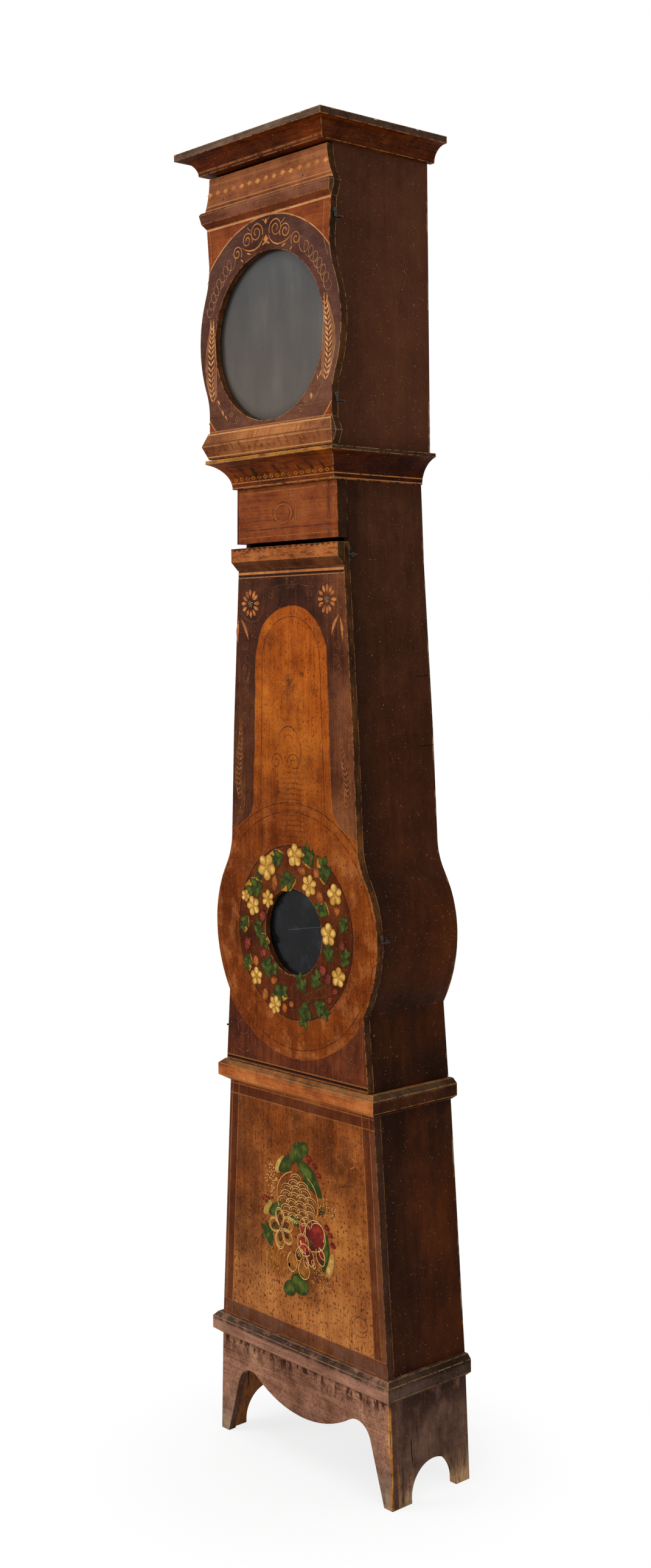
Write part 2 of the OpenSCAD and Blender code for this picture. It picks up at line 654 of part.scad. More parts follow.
// Winding drum with its great wheel, arbor and square
module drum(x, wheel_depth) {
    arbor(x, drum_z, cage_in - bar_t + 0.5, dial_d + 6);
    wheel(x, drum_z, wheel_depth, great_r, great_teeth, 3);
    rod_y(x, drum_z, line_d - 25, line_d + 25, drum_r);
    for (d = [line_d - 28, line_d + 25]) rod_y(x, drum_z, d, d + 3, drum_r + 3.5);
}
going_wheel_d = 62;
strike_wheel_d = 55;
module going_drum() color(brass_colour) drum(-train_x, going_wheel_d);
module strike_drum() color(brass_colour) drum(train_x, strike_wheel_d);

minute_front = 207;
module minute_wheel() color(brass_colour) {
    arbor(0, dial_z, cage_in - bar_t + 0.5, minute_front);
    pinion(0, dial_z, going_wheel_d - 3, big_pinion_r, 9);
    wheel(0, dial_z, 102, wheel_r, wheel_teeth);
    board(motion_d - 1.5, motion_d + 3.5) translate([0, dial_z]) difference() {
        wheel_shape(cannon_r, 16, 1);
        circle(arbor_r - 1);
    }
}
module third_wheel() color(brass_colour) {
    arbor(0, third_z);
    pinion(0, third_z, 99, pinion_r, 9);
    wheel(0, third_z, 122, wheel_r, wheel_teeth);
}
module escape_wheel() color(brass_colour) {
    arbor(0, escape_z);
    pinion(0, escape_z, 119, pinion_r, 9);
    wheel(0, escape_z, 134, escape_r, escape_teeth);
}

// Anchor on its arbor, with the crutch behind the cage: a fork round the pendulum rod
crutch_l = 120;
crutch_d = pendulum_d + 5;
module anchor() color(iron) {
    arbor(0, anchor_z, crutch_d, cage_out + bar_t - 0.5);
    board(133.5, 137) translate([0, anchor_z]) difference() {
        union() {
            circle(6);
            for (s = [-1, 1]) polygon([[0, 4], [s * 24, -9], [s * 26, -23], [s * 22.5, -21.5],
                [s * 19, -10], [0, -5]]);
        }
        circle(arbor_r - 1);
    }
    board(crutch_d, crutch_d + 2.5) translate([0, anchor_z]) difference() {
        union() {
            circle(6);
            translate([-2.5, -crutch_l]) square([5, crutch_l]);
            translate([-6.5, -crutch_l - 6]) square([13, 8]);
        }
        circle(arbor_r - 1);
    }
    both() translate([rod_r + 0.4, yd(crutch_d), anchor_z - crutch_l - 6]) cube([2.6, 10, 6]);
}

// Enamel dial and the brass surround that carries it on four feet
dial_d = 188;
dial_r = 122;
surround_w = 268;
surround_h = 292;
module winding_holes() both() translate([train_x, drum_z]) circle(6);
module dial() color("ivory") board(dial_d, dial_d + 3) difference() {
    translate([0, dial_z]) circle(dial_r, $fn = 96);
    winding_holes();
    translate([0, dial_z]) circle(6.5);
}
module dial_surround() color(brass_colour) {
    board(dial_d - 3, dial_d) difference() {
        translate([-surround_w / 2, dial_z - surround_h / 2]) square([surround_w, surround_h]);
        translate([0, dial_z]) circle(dial_r - 8, $fn = 96);
    }
    board(dial_d, dial_d + 5) translate([0, dial_z]) difference() {
        circle(dial_r + 8, $fn = 96);
        circle(dial_r + 0.3, $fn = 96);
    }
    for (x = [-cage_w / 2 + 5, cage_w / 2 - 5], z = [cage_z + 20, cage_top - 20])
        rod_y(x, z, cage_out, dial_d - 3, 3.5);
}

module hand(l, w, d, t, tail, hub) board(d, d + t) translate([0, dial_z]) difference() {
    union() {
        circle(hub);
        polygon(mirrored([[w * 0.8, -tail], [w * 0.5, -hub * 0.7], [w * 0.5, hub * 0.7],
            [w * 0.95, l * 0.55], [0.4, l]]));
    }
    circle(arbor_r + run);
}
module minute_hand() color("black") hand(102, 5, 202, 1.6, 26, 8);
module hour_hand() color("black") {
    hand(70, 6, 196.4, 1.6, 18, 9);
    board(hour_wheel_d - 1, 196.4) translate([0, dial_z]) difference() {
        circle(5.5);
        circle(arbor_r + run);
    }
    board(hour_wheel_d, hour_wheel_d + 2.5) translate([0, dial_z]) difference() {
        wheel_shape(hour_wheel_r, 48, 4);
        circle(5);
    }
}

// Motion work between cage and dial: wheel and pinion on a stud under the hands' arbor
module motion_wheel() color(brass_colour) difference() {
    union() {
        board(motion_d, motion_d + 2.5) translate([0, motion_z]) wheel_shape(motion_r, 48, 4);
        board(motion_d, motion_d + 11) translate([0, motion_z]) union() {
            circle(motion_pinion_r * 0.7);
            for (i = [0 : 11]) rotate(i * 30) translate([motion_pinion_r * 0.4, -0.7])
                square([motion_pinion_r * 0.6, 1.4]);
        }
    }
    rod_y(0, motion_z, motion_d - 1, motion_d + 12, 2 + run);
}

// Pendulum: a rod with an eye, hung on the cock's pin, and a lens-shaped bob
rod_r = 3;
cock_pin_r = 2;
module pendulum_rod() color(iron) {
    rod_y_ring(anchor_z, pendulum_d - 2.5, pendulum_d + 2.5, 5.5, cock_pin_r + run);
    translate([0, yd(pendulum_d), bob_z - bob_r - 30])
        cylinder(h = pendulum_l + bob_r + 30 - 4.5, r = rod_r);
}
module rod_y_ring(z, d0, d1, r, bore) board(d0, d1) translate([0, z]) difference() {
    circle(r);
    circle(bore);
}
bob_t = 22;
// Half section of the bob, from the rod's hole to the rim
function lens(n) = [for (i = [0 : n]) let (q = bob_r * i / n, h = bob_t / 2)
    [q, h - q * q * h / (bob_r * bob_r) + 0.6]];
module pendulum_bob() color(brass_colour) translate([0, yd(pendulum_d), bob_z]) {
    difference() {
        rotate([90, 0, 0]) rotate_extrude($fn = 96)
            polygon(concat(lens(6), [for (p = reversed(lens(6))) [p[0], -p[1]]]));
        translate([0, 0, -bob_r - 1]) cylinder(h = 2 * bob_r + 2, r = rod_r + 0.05);
    }
    translate([0, 0, -bob_r - 12]) difference() {
        cylinder(h = 12.2, r = 9);
        translate([0, 0, -1]) cylinder(h = 14, r = rod_r + 0.05);
    }
}
// Cock behind the cage top: an arm with a lug that holds the pendulum's pin
module pendulum_cock() color(iron) {
    lug_d = pendulum_d - 10;
    slab(cage_top, cage_top + plate_t) translate([-8, lug_d]) square([16, cage_in - bar_t - lug_d]);
    board(lug_d, lug_d + 5) translate([-6, anchor_z - 6]) square([12, cage_top - anchor_z + 6.5]);
    rod_y(0, anchor_z, lug_d + 1, pendulum_d + 3.6, cock_pin_r);
    rod_y(0, anchor_z, pendulum_d + 2.9, pendulum_d + 3.9, 3.6);
}

module line(x) translate([x, yd(line_d), weight_top + weight_hook])
    cylinder(h = drum_z - weight_top - weight_hook, r = line_r, $fn = 16);
module going_line() color("tan") line(-line_x);
module strike_line() color("tan") line(line_x);

// Cast-iron weight with a domed shoulder and a wrought hook
module weight(x) translate([x, yd(line_d), 0]) {
    difference() {
        rotate_extrude($fn = 64) polygon(concat([[0, weight_top - weight_h],
            [weight_r - 3, weight_top - weight_h], [weight_r, weight_top - weight_h + 3]],
            arc(weight_r - 16, weight_top - 16, 16, 0, 80, 6), [[0, weight_top]]));
    }
    translate([0, 0, weight_top - 2]) cylinder(h = 12, r = 2.5);
    translate([0, 0, weight_top + 16]) rotate([90, 0, 0]) rotate_extrude($fn = 48)
        translate([6.5, 0]) circle(2, $fn = 16);
}
module going_weight() color(iron) weight(-line_x);
module strike_weight() color(iron) weight(line_x);

// Second strike wheel with the pins that lift the hammer
pins = 8;
module pin_wheel() color(brass_colour) {
    arbor(train_x, pin_wheel_z);
    pinion(train_x, pin_wheel_z, strike_wheel_d - 3, big_pinion_r, 9);
    wheel(train_x, pin_wheel_z, 88, pin_wheel_r, pin_teeth);
    for (i = [0 : pins - 1]) rod_y(train_x + 23.5 * cos(i * 360 / pins),
        pin_wheel_z + 23.5 * sin(i * 360 / pins), 90.5, tail_d - 0.5, 1.5, 16);
}
module strike_fly() color(iron) {
    arbor(train_x, fly_z);
    pinion(train_x, fly_z, 85, pinion_r, 9);
    board(112, 138) translate([train_x - 24, fly_z - 0.8]) square([48, 1.6]);
}

// Bell on its post above the cage, and the hammer beside it
bell_t = 2.5;
bell_h = 50;
function bell_curve(r, h, n) = [for (i = [0 : n]) let (a = 90 * i / n)
    [r * (0.72 * cos(a) + 0.28 * pow(cos(a), 4)), h * sin(a)]];
module bell() color(brass_colour) translate([0, yd(bell_d), bell_z]) difference() {
    rotate_extrude($fn = 96) polygon(concat(bell_curve(bell_r, bell_h, 14),
        reversed(bell_curve(bell_r - bell_t, bell_h - bell_t, 14))));
    translate([0, 0, bell_h - 6]) cylinder(h = 10, r = 4 + run);
}
module bell_post() color(iron) translate([0, yd(bell_d), 0]) {
    translate([0, 0, cage_top]) cylinder(h = bell_z + bell_h - cage_top + 10, r = 4);
    translate([0, 0, cage_top + plate_t]) cylinder(h = 4, r = 8);
    translate([0, 0, bell_z + bell_h - bell_t - 5]) cylinder(h = 4.2, r = 7);
    translate([0, 0, bell_z + bell_h]) cylinder(h = 5, r = 7, $fn = 6);
}
module bell_hammer() color(iron) {
    head_z = bell_z + 6;
    rod_y(hammer_x, hammer_z, line_d - 21, line_d + 21, 2.5);
    board(tail_d, tail_d + 5) difference() {
        polygon([[hammer_x - 20, hammer_z - 81], [hammer_x - 16, hammer_z - 82],
            [hammer_x, hammer_z - 55], [hammer_x + 4, hammer_z], [hammer_x - 4, head_z + 3],
            [hammer_x - 9, head_z + 3], [hammer_x - 4, hammer_z], [hammer_x - 4, hammer_z - 54]]);
        translate([hammer_x, hammer_z]) circle(1.5);
    }
    rod_x(bell_r + 2.5, hammer_x + 2, line_d, head_z, 7);
}

plinth_front();
plinth_side_left();
plinth_side_right();
lower_rail();
base_front_panel();
base_side_left();
base_side_right();
base_floor();
base_back_board();
middle_rail();
trunk_side_left();
trunk_side_right();
trunk_frieze_block();
trunk_back_board();
hood_shelf_moulding();
hood_side_left();
hood_side_right();
hood_back_board();
seat_board();
cornice();
hood_top_board();
case_ironwork();
hood_door_board();
hood_door_upper_bar();
hood_door_lower_bar();
hood_door_glass();
hood_door_bead();
hood_door_ironwork();
hood_hook();
trunk_door_board();
trunk_door_top_bar();
trunk_door_glass();
trunk_door_bead();
trunk_door_ironwork();
trunk_hook();
movement_cage();
arbor_bars();
dial();
dial_surround();
bell_post();
bell();
going_drum();
minute_wheel();
third_wheel();
escape_wheel();
anchor();
minute_hand();
hour_hand();
motion_wheel();
pendulum_rod();
pendulum_bob();
pendulum_cock();
going_line();
going_weight();
strike_drum();
pin_wheel();
strike_fly();
bell_hammer();
strike_line();
strike_weight();
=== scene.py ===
import math
import random
from types import SimpleNamespace
import bmesh
import bpy
from mathutils import Matrix, Vector


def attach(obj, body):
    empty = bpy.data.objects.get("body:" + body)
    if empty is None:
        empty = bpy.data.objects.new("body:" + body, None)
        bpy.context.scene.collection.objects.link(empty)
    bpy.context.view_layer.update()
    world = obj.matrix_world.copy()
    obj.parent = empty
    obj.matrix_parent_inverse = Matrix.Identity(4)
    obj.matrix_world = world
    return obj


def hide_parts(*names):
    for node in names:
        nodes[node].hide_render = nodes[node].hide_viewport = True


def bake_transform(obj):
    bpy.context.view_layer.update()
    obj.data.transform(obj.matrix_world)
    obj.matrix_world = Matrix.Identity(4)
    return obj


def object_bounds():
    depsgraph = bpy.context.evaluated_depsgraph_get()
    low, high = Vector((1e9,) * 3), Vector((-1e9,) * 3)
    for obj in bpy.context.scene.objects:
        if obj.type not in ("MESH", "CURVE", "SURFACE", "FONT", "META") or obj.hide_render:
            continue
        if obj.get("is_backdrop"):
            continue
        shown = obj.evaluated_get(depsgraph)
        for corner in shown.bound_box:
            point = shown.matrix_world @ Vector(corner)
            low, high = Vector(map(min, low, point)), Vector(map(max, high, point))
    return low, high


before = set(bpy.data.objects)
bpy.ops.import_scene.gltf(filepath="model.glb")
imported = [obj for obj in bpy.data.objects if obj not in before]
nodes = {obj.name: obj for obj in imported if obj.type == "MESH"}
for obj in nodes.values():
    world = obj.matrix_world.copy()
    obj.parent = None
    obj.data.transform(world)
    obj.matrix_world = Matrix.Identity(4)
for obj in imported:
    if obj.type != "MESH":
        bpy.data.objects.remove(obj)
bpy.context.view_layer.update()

# The camera stands to the right of the clock at chest height and looks level, with its
# picture shifted down so that the tall case keeps its uprights upright.
camera = bpy.data.objects.new("camera", bpy.data.cameras.new("camera"))
bpy.context.collection.objects.link(camera)
camera.data.sensor_fit = "VERTICAL"
camera.data.sensor_height = 36.0
camera.data.lens = 42.04
camera.data.shift_y = -0.0857
camera.data.clip_end = 80.0
right, up = Vector((0.662004, 0.749434, -0.009992)), Vector((0.006602, 0.007500, 0.999950))
camera.matrix_world = Matrix.Translation((2.41696, -2.10616, 1.41830)) @ Matrix(
    (right, up, right.cross(up))).transposed().to_4x4()
bpy.context.scene.camera = camera
bpy.context.scene.view_settings.view_transform = "Standard"

# The studio: a seamless white paper floor that runs out of sight, one large soft box to
# the left of the front, a weaker one by the side, and white light from all round.
def linear(code):
    """An sRGB hex colour as linear light, with full opacity."""
    part = [int(code[i:i + 2], 16) / 255 for i in (1, 3, 5)]
    return [c / 12.92 if c <= 0.04045 else ((c + 0.055) / 1.055) ** 2.4 for c in part] + [1.0]


def add(tree, kind, *inputs, out=0, stops=None, **settings):
    """Adds one shader node with its settings and links, and gives one of its outputs.

    A kind in capitals is one of the Math node's operations.
    """
    if kind.isupper():
        kind, settings["operation"] = "Math", kind
    made = tree.nodes.new("ShaderNode" + kind)
    for name, value in settings.items():
        setattr(made, name, value)
    if stops:
        ramp = made.color_ramp.elements
        while len(ramp) < len(stops):
            ramp.new(1.0)
        for stop, (place, colour) in zip(ramp, stops):
            stop.position = place
            stop.color = linear(colour)
    given = inputs[0] if inputs and isinstance(inputs[0], dict) else dict(enumerate(inputs))
    for key, value in given.items():
        if isinstance(value, bpy.types.NodeSocket):
            tree.links.new(value, made.inputs[key])
        elif value is not None:
            made.inputs[key].default_value = linear(value) if isinstance(value, str) else value
    return made.outputs[out] if made.outputs else made


world = bpy.data.worlds.new("white_studio")
bpy.context.scene.world = world
world.use_nodes = True
world.node_tree.nodes.clear()
t = world.node_tree
path = add(t, "LightPath").node.outputs
seen = add(t, "MAXIMUM", path["Is Camera Ray"], path["Is Glossy Ray"])
seen = add(t, "MAXIMUM", seen, path["Is Transmission Ray"])
level = add(t, "MapRange", seen, 0.0, 1.0, 0.50, 1.0)
add(t, "OutputWorld", add(t, "Background", "#ffffff", level))


def blank(name):
    """A new material whose only node gives each point's place in metres."""
    made = bpy.data.materials.new(name)
    made.use_nodes = True
    made.node_tree.nodes.clear()
    coords = add(made.node_tree, "TexCoord").node.outputs
    return SimpleNamespace(material=made, t=made.node_tree, place=coords["Object"],
                           normal=coords["Normal"], colour=None)


def put_out(name, thing):
    """Links a new object with that name and data into the scene."""
    made = bpy.data.objects.new(name, thing)
    bpy.context.collection.objects.link(made)
    return made


paper = blank("white_background_paper")
t = paper.t
path = add(t, "LightPath").node.outputs
seen = add(t, "MAXIMUM", path["Is Camera Ray"], path["Is Glossy Ray"])
# Only the paper within half a metre of the feet shows a shadow
reach = add(t, "VectorMath", paper.place, (0.0, 0.0, 0.0), operation="DISTANCE", out="Value")
reach = add(t, "MapRange", reach, 0.12, 0.48, 0.76, 1.0, interpolation_type="SMOOTHSTEP")
add(t, "OutputMaterial", add(t, "MixShader", add(t, "MULTIPLY", seen, reach),
                             add(t, "BsdfDiffuse", "#f4f4f4"), add(t, "Emission", "#ffffff", 1.0)))
bm = bmesh.new()
bmesh.ops.create_grid(bm, x_segments=1, y_segments=1, size=60.0)
floor = put_out("floor", bpy.data.meshes.new("floor"))
bm.to_mesh(floor.data)
bm.free()
floor.data.materials.append(paper.material)
floor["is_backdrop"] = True

mid_clock = Vector((0.0, 0.0, 1.1))
for name, place, size, power in (("key", (-2.4, -3.4, 2.7), 2.4, 98.0),
                                 ("side", (3.6, -0.6, 2.2), 2.0, 34.0),
                                 ("top", (0.3, -0.9, 4.2), 2.6, 40.0)):
    lamp = put_out(name, bpy.data.lights.new(name, "AREA"))
    lamp.data.shape = "SQUARE"
    lamp.data.size = size
    lamp.data.energy = power
    lamp.location = place
    lamp.rotation_euler = (mid_clock - Vector(place)).to_track_quat("-Z", "Y").to_euler()


# The plinth: a sawn front board with a hanging belly, and two side boards with an arch.
# Softwood, planed by hand, stained, glazed with thin oil paint and varnished. Age has
# mottled the stain, raised the grain, pitted the face and rubbed the corners bare.
def old_pine(name, dark, mid, light, grain="Z", spread=1.0, edge=0.6, seed=0.0, bare="#a8682f"):
    """Starts a painted pine board's material: its ground colour, and what wears it."""
    wood = blank(name)
    t = wood.t
    wood.x, wood.y, wood.z = add(t, "SeparateXYZ", wood.place).node.outputs
    wood.facing = add(t, "SeparateXYZ", wood.normal).node.outputs
    wood.aside = add(t, "ABSOLUTE", wood.facing["X"])
    wood.front = add(t, "LESS_THAN", wood.facing["Y"], -0.5)
    wood.place = add(t, "VectorMath", wood.place, (seed, seed * 0.7, seed * 1.3), operation="ADD")
    # Fibres about 1.5 mm wide and 50 mm long, in growth bands 12 mm wide
    run = add(t, "VectorMath", wood.place, operation="MULTIPLY")
    run.node.inputs[1].default_value = {"Z": (1.0, 1.0, 0.03), "X": (0.03, 1.0, 1.0)}[grain]
    layers = []
    for size, detail, rough, along, bent in (
            (560.0, 4.0, 0.62, run, 0.0), (9.0, 7.0, 0.66, wood.place, 0.0),
            (3.0, 3.0, 0.50, wood.place, 0.0), (85.0, 3.0, 0.50, run, 0.6),
            (34.0, 5.0, 0.68, wood.place, 0.0), (330.0, 2.0, 0.70, wood.place, 0.0),
            (90.0, 4.0, 0.70, wood.place, 0.0), (24.0, 3.0, 0.50, wood.place, 0.0)):
        layers.append(add(t, "TexNoise", {"Vector": along, "Scale": size, "Detail": detail,
                                          "Roughness": rough, "Distortion": bent}))
    # Blotches of stain run from a hand's width down to a thumb's, and specks are 1 to 2 mm
    wood.fibre, wood.blotch, cloud, band, mottle, speck, wood.chip, drift = layers
    tone = add(t, "ADD", add(t, "MULTIPLY", wood.blotch, 0.50), add(t, "MULTIPLY", cloud, 0.22))
    for layer, share in ((band, 0.18), (wood.fibre, 0.34), (mottle, 0.26)):
        tone = add(t, "MULTIPLY_ADD", layer, share, tone)
    wood.tone = add(t, "MapRange", tone, 0.75 - 0.135 * spread, 0.75 + 0.135 * spread, 0.0, 1.0)
    wood.colour = add(t, "ValToRGB", wood.tone, stops=[(0.0, dark), (0.5, mid), (1.0, light)])
    # Corners rubbed through to bare wood, in chips 3 to 10 mm long
    wood.corner = add(t, "Bevel", 0.0022, samples=4)
    sharp = add(t, "VectorMath", wood.corner, add(t, "NewGeometry", out="Normal"),
                operation="DOT_PRODUCT", out="Value")
    # Pits with dirt in them, and splashes of limewash
    wood.wear = ((speck, 0.635, 0.69, 0.8, "#160b06"), (speck, 0.30, 0.27, 0.5, "#c9a57a"))
    wood.worn = [(sharp, 0.995, 0.93), (wood.chip, 0.66 - 0.22 * edge, 0.72 - 0.2 * edge)]
    wood.bare = bare
    # A hand-drawn edge wanders by a millimetre or two
    wood.wander = add(t, "MapRange", drift, 0.25, 0.75, -0.0022, 0.0022)
    return wood


def masked(skin, mask):
    """A mask as a socket: one, or (value, where it is 0, where full, how full), or a list."""
    if isinstance(mask, list):
        whole = masked(skin, mask[0])
        for part in mask[1:]:
            whole = add(skin.t, "MULTIPLY", whole, masked(skin, part))
        return whole
    if isinstance(mask, tuple):
        value, empty, full, strength = (*mask, 1.0)[:4]
        return add(skin.t, "MapRange", value, empty, full, 0.0, strength)
    return mask


def coat(skin, mask, *shades, torn=None, front=False):
    """Lays a glaze over the ground where the mask is 1, so that the grain shows in it.

    It may be torn into lumps: from, to, how many to the metre, and their stretch.
    """
    mask = masked(skin, mask)
    if torn:
        low, high, size, stretch = torn + (60.0, (1.0, 1.0, 1.0))[len(torn) - 2:]
        lumps = add(skin.t, "VectorMath", skin.place, stretch, operation="MULTIPLY")
        lumps = add(skin.t, "TexNoise", {"Vector": lumps, "Scale": size, "Detail": 4.0,
                                         "Roughness": 0.65})
        mask = add(skin.t, "MULTIPLY", mask, masked(skin, (lumps, low, high)))
    over = shades[0]
    if len(shades) > 1:
        over = add(skin.t, "ValToRGB", skin.tone,
                   stops=[(i / (len(shades) - 1), shade) for i, shade in enumerate(shades)])
    if front:
        mask = add(skin.t, "MULTIPLY", mask, skin.front)
    skin.colour = add(skin.t, "Mix", {0: mask, 6: skin.colour, 7: over}, out=2, data_type="RGBA")


def line(wood, distance, middle, width, soft=0.0008, strength=1.0):
    """1 on a painted line of that width that keeps to one distance, and 0 off it."""
    off = add(wood.t, "ABSOLUTE", add(wood.t, "SUBTRACT", distance, middle))
    return add(wood.t, "MapRange", off, width / 2, width / 2 + soft, strength, 0.0)


def away(skin, x, z):
    """How far a point of the front lies from one at that x and z, in metres."""
    if not hasattr(skin, "flat"):
        skin.flat = add(skin.t, "CombineXYZ", skin.x, 0.0, skin.z)
    return add(skin.t, "VectorMath", skin.flat, (x, 0.0, z), operation="DISTANCE", out="Value")


def dress(skin, look, *pieces, relief=None):
    """Ends a material with a surface of that look, and puts it on pieces of the CAD model.

    Relief is its strength, its depth in metres and the value that it follows.
    """
    if relief:
        look["Normal"] = add(skin.t, "Bump", dict(zip(("Strength", "Distance", "Height"), relief)))
    surface = add(skin.t, "BsdfPrincipled", {"Base Color": skin.colour, **look})
    add(skin.t, "OutputMaterial", surface)
    for name in pieces:
        slots = nodes[name].data.materials
        slots.clear()
        slots.append(skin.material)


def varnished(wood, *pieces, rough=0.45, gloss=0.03):
    """Ends a board's material with its specks, wear and thin varnish."""
    t = wood.t
    coat(wood, (wood.fibre, 0.55, 0.68, 0.26), "#1c0d06")
    for *mask, shade in wood.wear:
        coat(wood, tuple(mask), shade)
    coat(wood, wood.worn, wood.bare)
    relief = add(t, "Bump", {"Strength": 0.3, "Distance": 0.0007, "Normal": wood.corner,
                             "Height": add(t, "ADD", wood.fibre, wood.chip)})
    dull = add(t, "MapRange", wood.blotch, 0.3, 0.7, rough + 0.10, rough - 0.08)
    dress(wood, {"Roughness": dull, "IOR": 1.5, "Specular IOR Level": gloss, "Normal": relief},
          *pieces)


def base_edge(wood, inset=0.0):
    """How far a point lies inside the slanting edge of the plinth or base box."""
    t = wood.t
    half = add(t, "MINIMUM", add(t, "MapRange", wood.z, 0.0, 0.196, 0.226, 0.219),
               add(t, "MapRange", wood.z, 0.196, 0.672, 0.219, 0.1885))
    return add(t, "SUBTRACT", half, add(t, "ABSOLUTE", add(t, "ADD", wood.x, inset)))


wood = old_pine("mottled_brown_plinth_pine", "#553424", "#92654f", "#bb8b6b", "X", seed=2.0,
                edge=0.8)
# Dark runs of glaze hang from the rail, with painted shade darkening the face under it; the
# face is spattered, and the feet are bleached by damp and brooms
coat(wood, [wood.front, 0.7], "#4e3022", "#6b4535", torn=(0.50, 0.64, 230.0))
# Darker under the rail: runs of glaze and painted shade
coat(wood, (wood.z, 0.136, 0.168, 0.95), "#2a140d", "#40241a",
     torn=(0.47, 0.56, 70.0, (1.0, 1.0, 0.5)), front=True)
coat(wood, (wood.z, 0.12, 0.0, 0.9), "#473a33", "#6d5d54", torn=(0.36, 0.56, 26.0, (1.0, 1.0, 0.5)))
coat(wood, (wood.z, 0.040, 0.010, 0.95), "#6f5743", "#967d62", "#b2977a",
     torn=(0.36, 0.50, 42.0, (1.0, 1.0, 0.4)))
# End grain at the sides is dark like them, and the right corner is split to bright wood
coat(wood, (wood.aside, 0.6, 0.8), "#2c1a12", "#4a3026", "#604436")
coat(wood, [(base_edge(wood), 0.0035, 0.0010), add(wood.t, "GREATER_THAN", wood.x, 0.1),
            (wood.z, 0.172, 0.160), (wood.y, -0.037, -0.040)], "#6b3a1c", "#a3652f", "#cf9552",
     torn=(0.50, 0.56, 110.0, (1.0, 1.0, 0.16)))
varnished(wood, "plinth_front", rough=0.62, gloss=0.018)

wood = old_pine("dark_stained_plinth_pine", "#35241b", "#5b4136", "#755845", seed=3.0, edge=0.7)
# Darker under the rail, as painted shade
coat(wood, (wood.z, 0.10, 0.168), "#271913", "#3f2b23", torn=(0.40, 0.50, 26.0, (1.0, 1.0, 0.5)))
coat(wood, (wood.z, 0.060, 0.010), "#6f523b", "#a9845f", "#ceab7f",
     torn=(0.38, 0.52, 40.0, (1.0, 1.0, 0.3)))
# Their inner faces are bare and red. The front edge is stripped, and one shake runs up it.
inward = add(wood.t, "MULTIPLY", wood.facing["X"], wood.x)
coat(wood, (inward, -0.10, -0.15), "#5e3720", "#985f3a", "#b98050")
coat(wood, [(wood.y, -0.022, -0.0262), (wood.z, 0.172, 0.155)], "#5f3a20", "#9a6232", "#c08a50",
     torn=(0.52, 0.58, 95.0, (1.0, 1.0, 0.14)))
shake = add(wood.t, "ADD", add(wood.t, "MULTIPLY", wood.wander, 0.8), wood.y)
coat(wood, [line(wood, shake, 0.0052, 0.0012), line(wood, wood.z, 0.086, 0.030, 0.010)], "#120b0a")
varnished(wood, "plinth_side_left", "plinth_side_right", rough=0.6, gloss=0.018)

# The base box: its front panel is grained orange brown between dark ruled bands, and its
# sides, like all the sides of the case, have only a near-black stain gone red in places.
wood = old_pine("orange_brown_base_panel_pine", "#4b200a", "#87451b", "#ad662e", spread=1.2,
                seed=4.0, edge=1.0)
# Soot and candle smoke lie in clouds at the left and under the rail, where the darkening is
# partly painted shade; the middle is rubbed paler, and the foot of the panel is palest, where
# brooms and shoes have scoured it
coat(wood, add(wood.t, "MapRange", wood.z, 0.42, 0.60, 0.15, 1.0), "#431a05", "#713309", "#92480f",
     torn=(0.40, 0.62, 13.0, (1.0, 1.0, 0.7)), front=True)
coat(wood, (wood.z, 0.56, 0.40, 0.9), "#70381a", "#a7642a", "#c88a42",
     torn=(0.40, 0.60, 10.0, (1.0, 1.0, 0.9)), front=True)
coat(wood, (wood.z, 0.42, 0.26, 0.75), "#7a3f1e", "#ad6a36", "#cb8a4a", front=True)
coat(wood, (wood.x, -0.06, -0.20, 0.9), "#4a2410", "#70401f",
     torn=(0.36, 0.60, 17.0, (1.0, 1.0, 0.9)), front=True)
for x, z, size in ((0.105, 0.540, 0.060), (-0.135, 0.500, 0.035), (0.060, 0.585, 0.045),
                   (-0.140, 0.350, 0.045), (-0.010, 0.600, 0.035), (0.020, 0.330, 0.050)):
    coat(wood, (away(wood, x, z), size, size * 0.2, 0.85), "#3d1d0b", "#5c3014",
         torn=(0.34, 0.60, 45.0), front=True)
# Fly spots and dark grit in the pores over all of it
coat(wood, wood.front, "#3a1d0d", "#5c3318", torn=(0.565, 0.60, 210.0, (1.0, 1.0, 0.7)))
coat(wood, [wood.front, 0.8], "#a97238", "#c99052", torn=(0.635, 0.66, 330.0, (1.0, 1.0, 0.6)))
edge = base_edge(wood, 0.003)
bands = add(wood.t, "MAXIMUM", line(wood, edge, 0.01875, 0.0175),
            line(wood, wood.z, 0.628, 0.018))
bands = add(wood.t, "MAXIMUM", bands, line(wood, wood.z, 0.2275, 0.025))
coat(wood, (edge, 0.0105, 0.0095, 0.88), "#3a1c10", "#5d3522", "#714632", front=True)
coat(wood, [bands, 0.86], "#2e1106", "#52240f", "#6c3a1e", front=True)
for distance, middle in ((edge, 0.010), (edge, 0.0275), (wood.z, 0.637), (wood.z, 0.619),
                         (wood.z, 0.240), (wood.z, 0.216)):
    coat(wood, line(wood, distance, middle, 0.0011), "#7d4927", "#9d6237", torn=(0.30, 0.52),
         front=True)
coat(wood, line(wood, wood.z, 0.2275, 0.020), "#543425", "#775141", torn=(0.36, 0.62, 30.0),
     front=True)
coat(wood, line(wood, wood.z, 0.2125, 0.002), "#1b0a04", front=True)
coat(wood, (wood.aside, 0.6, 0.8), "#20120c", "#3a2318", "#4e3222")
varnished(wood, "base_front_panel", rough=0.5, gloss=0.025)

wood = old_pine("black_brown_stained_pine_sides", "#180a05", "#381b0c", "#502813", spread=1.7,
                seed=1.0, edge=0.45, bare="#7d5230")
t = wood.t
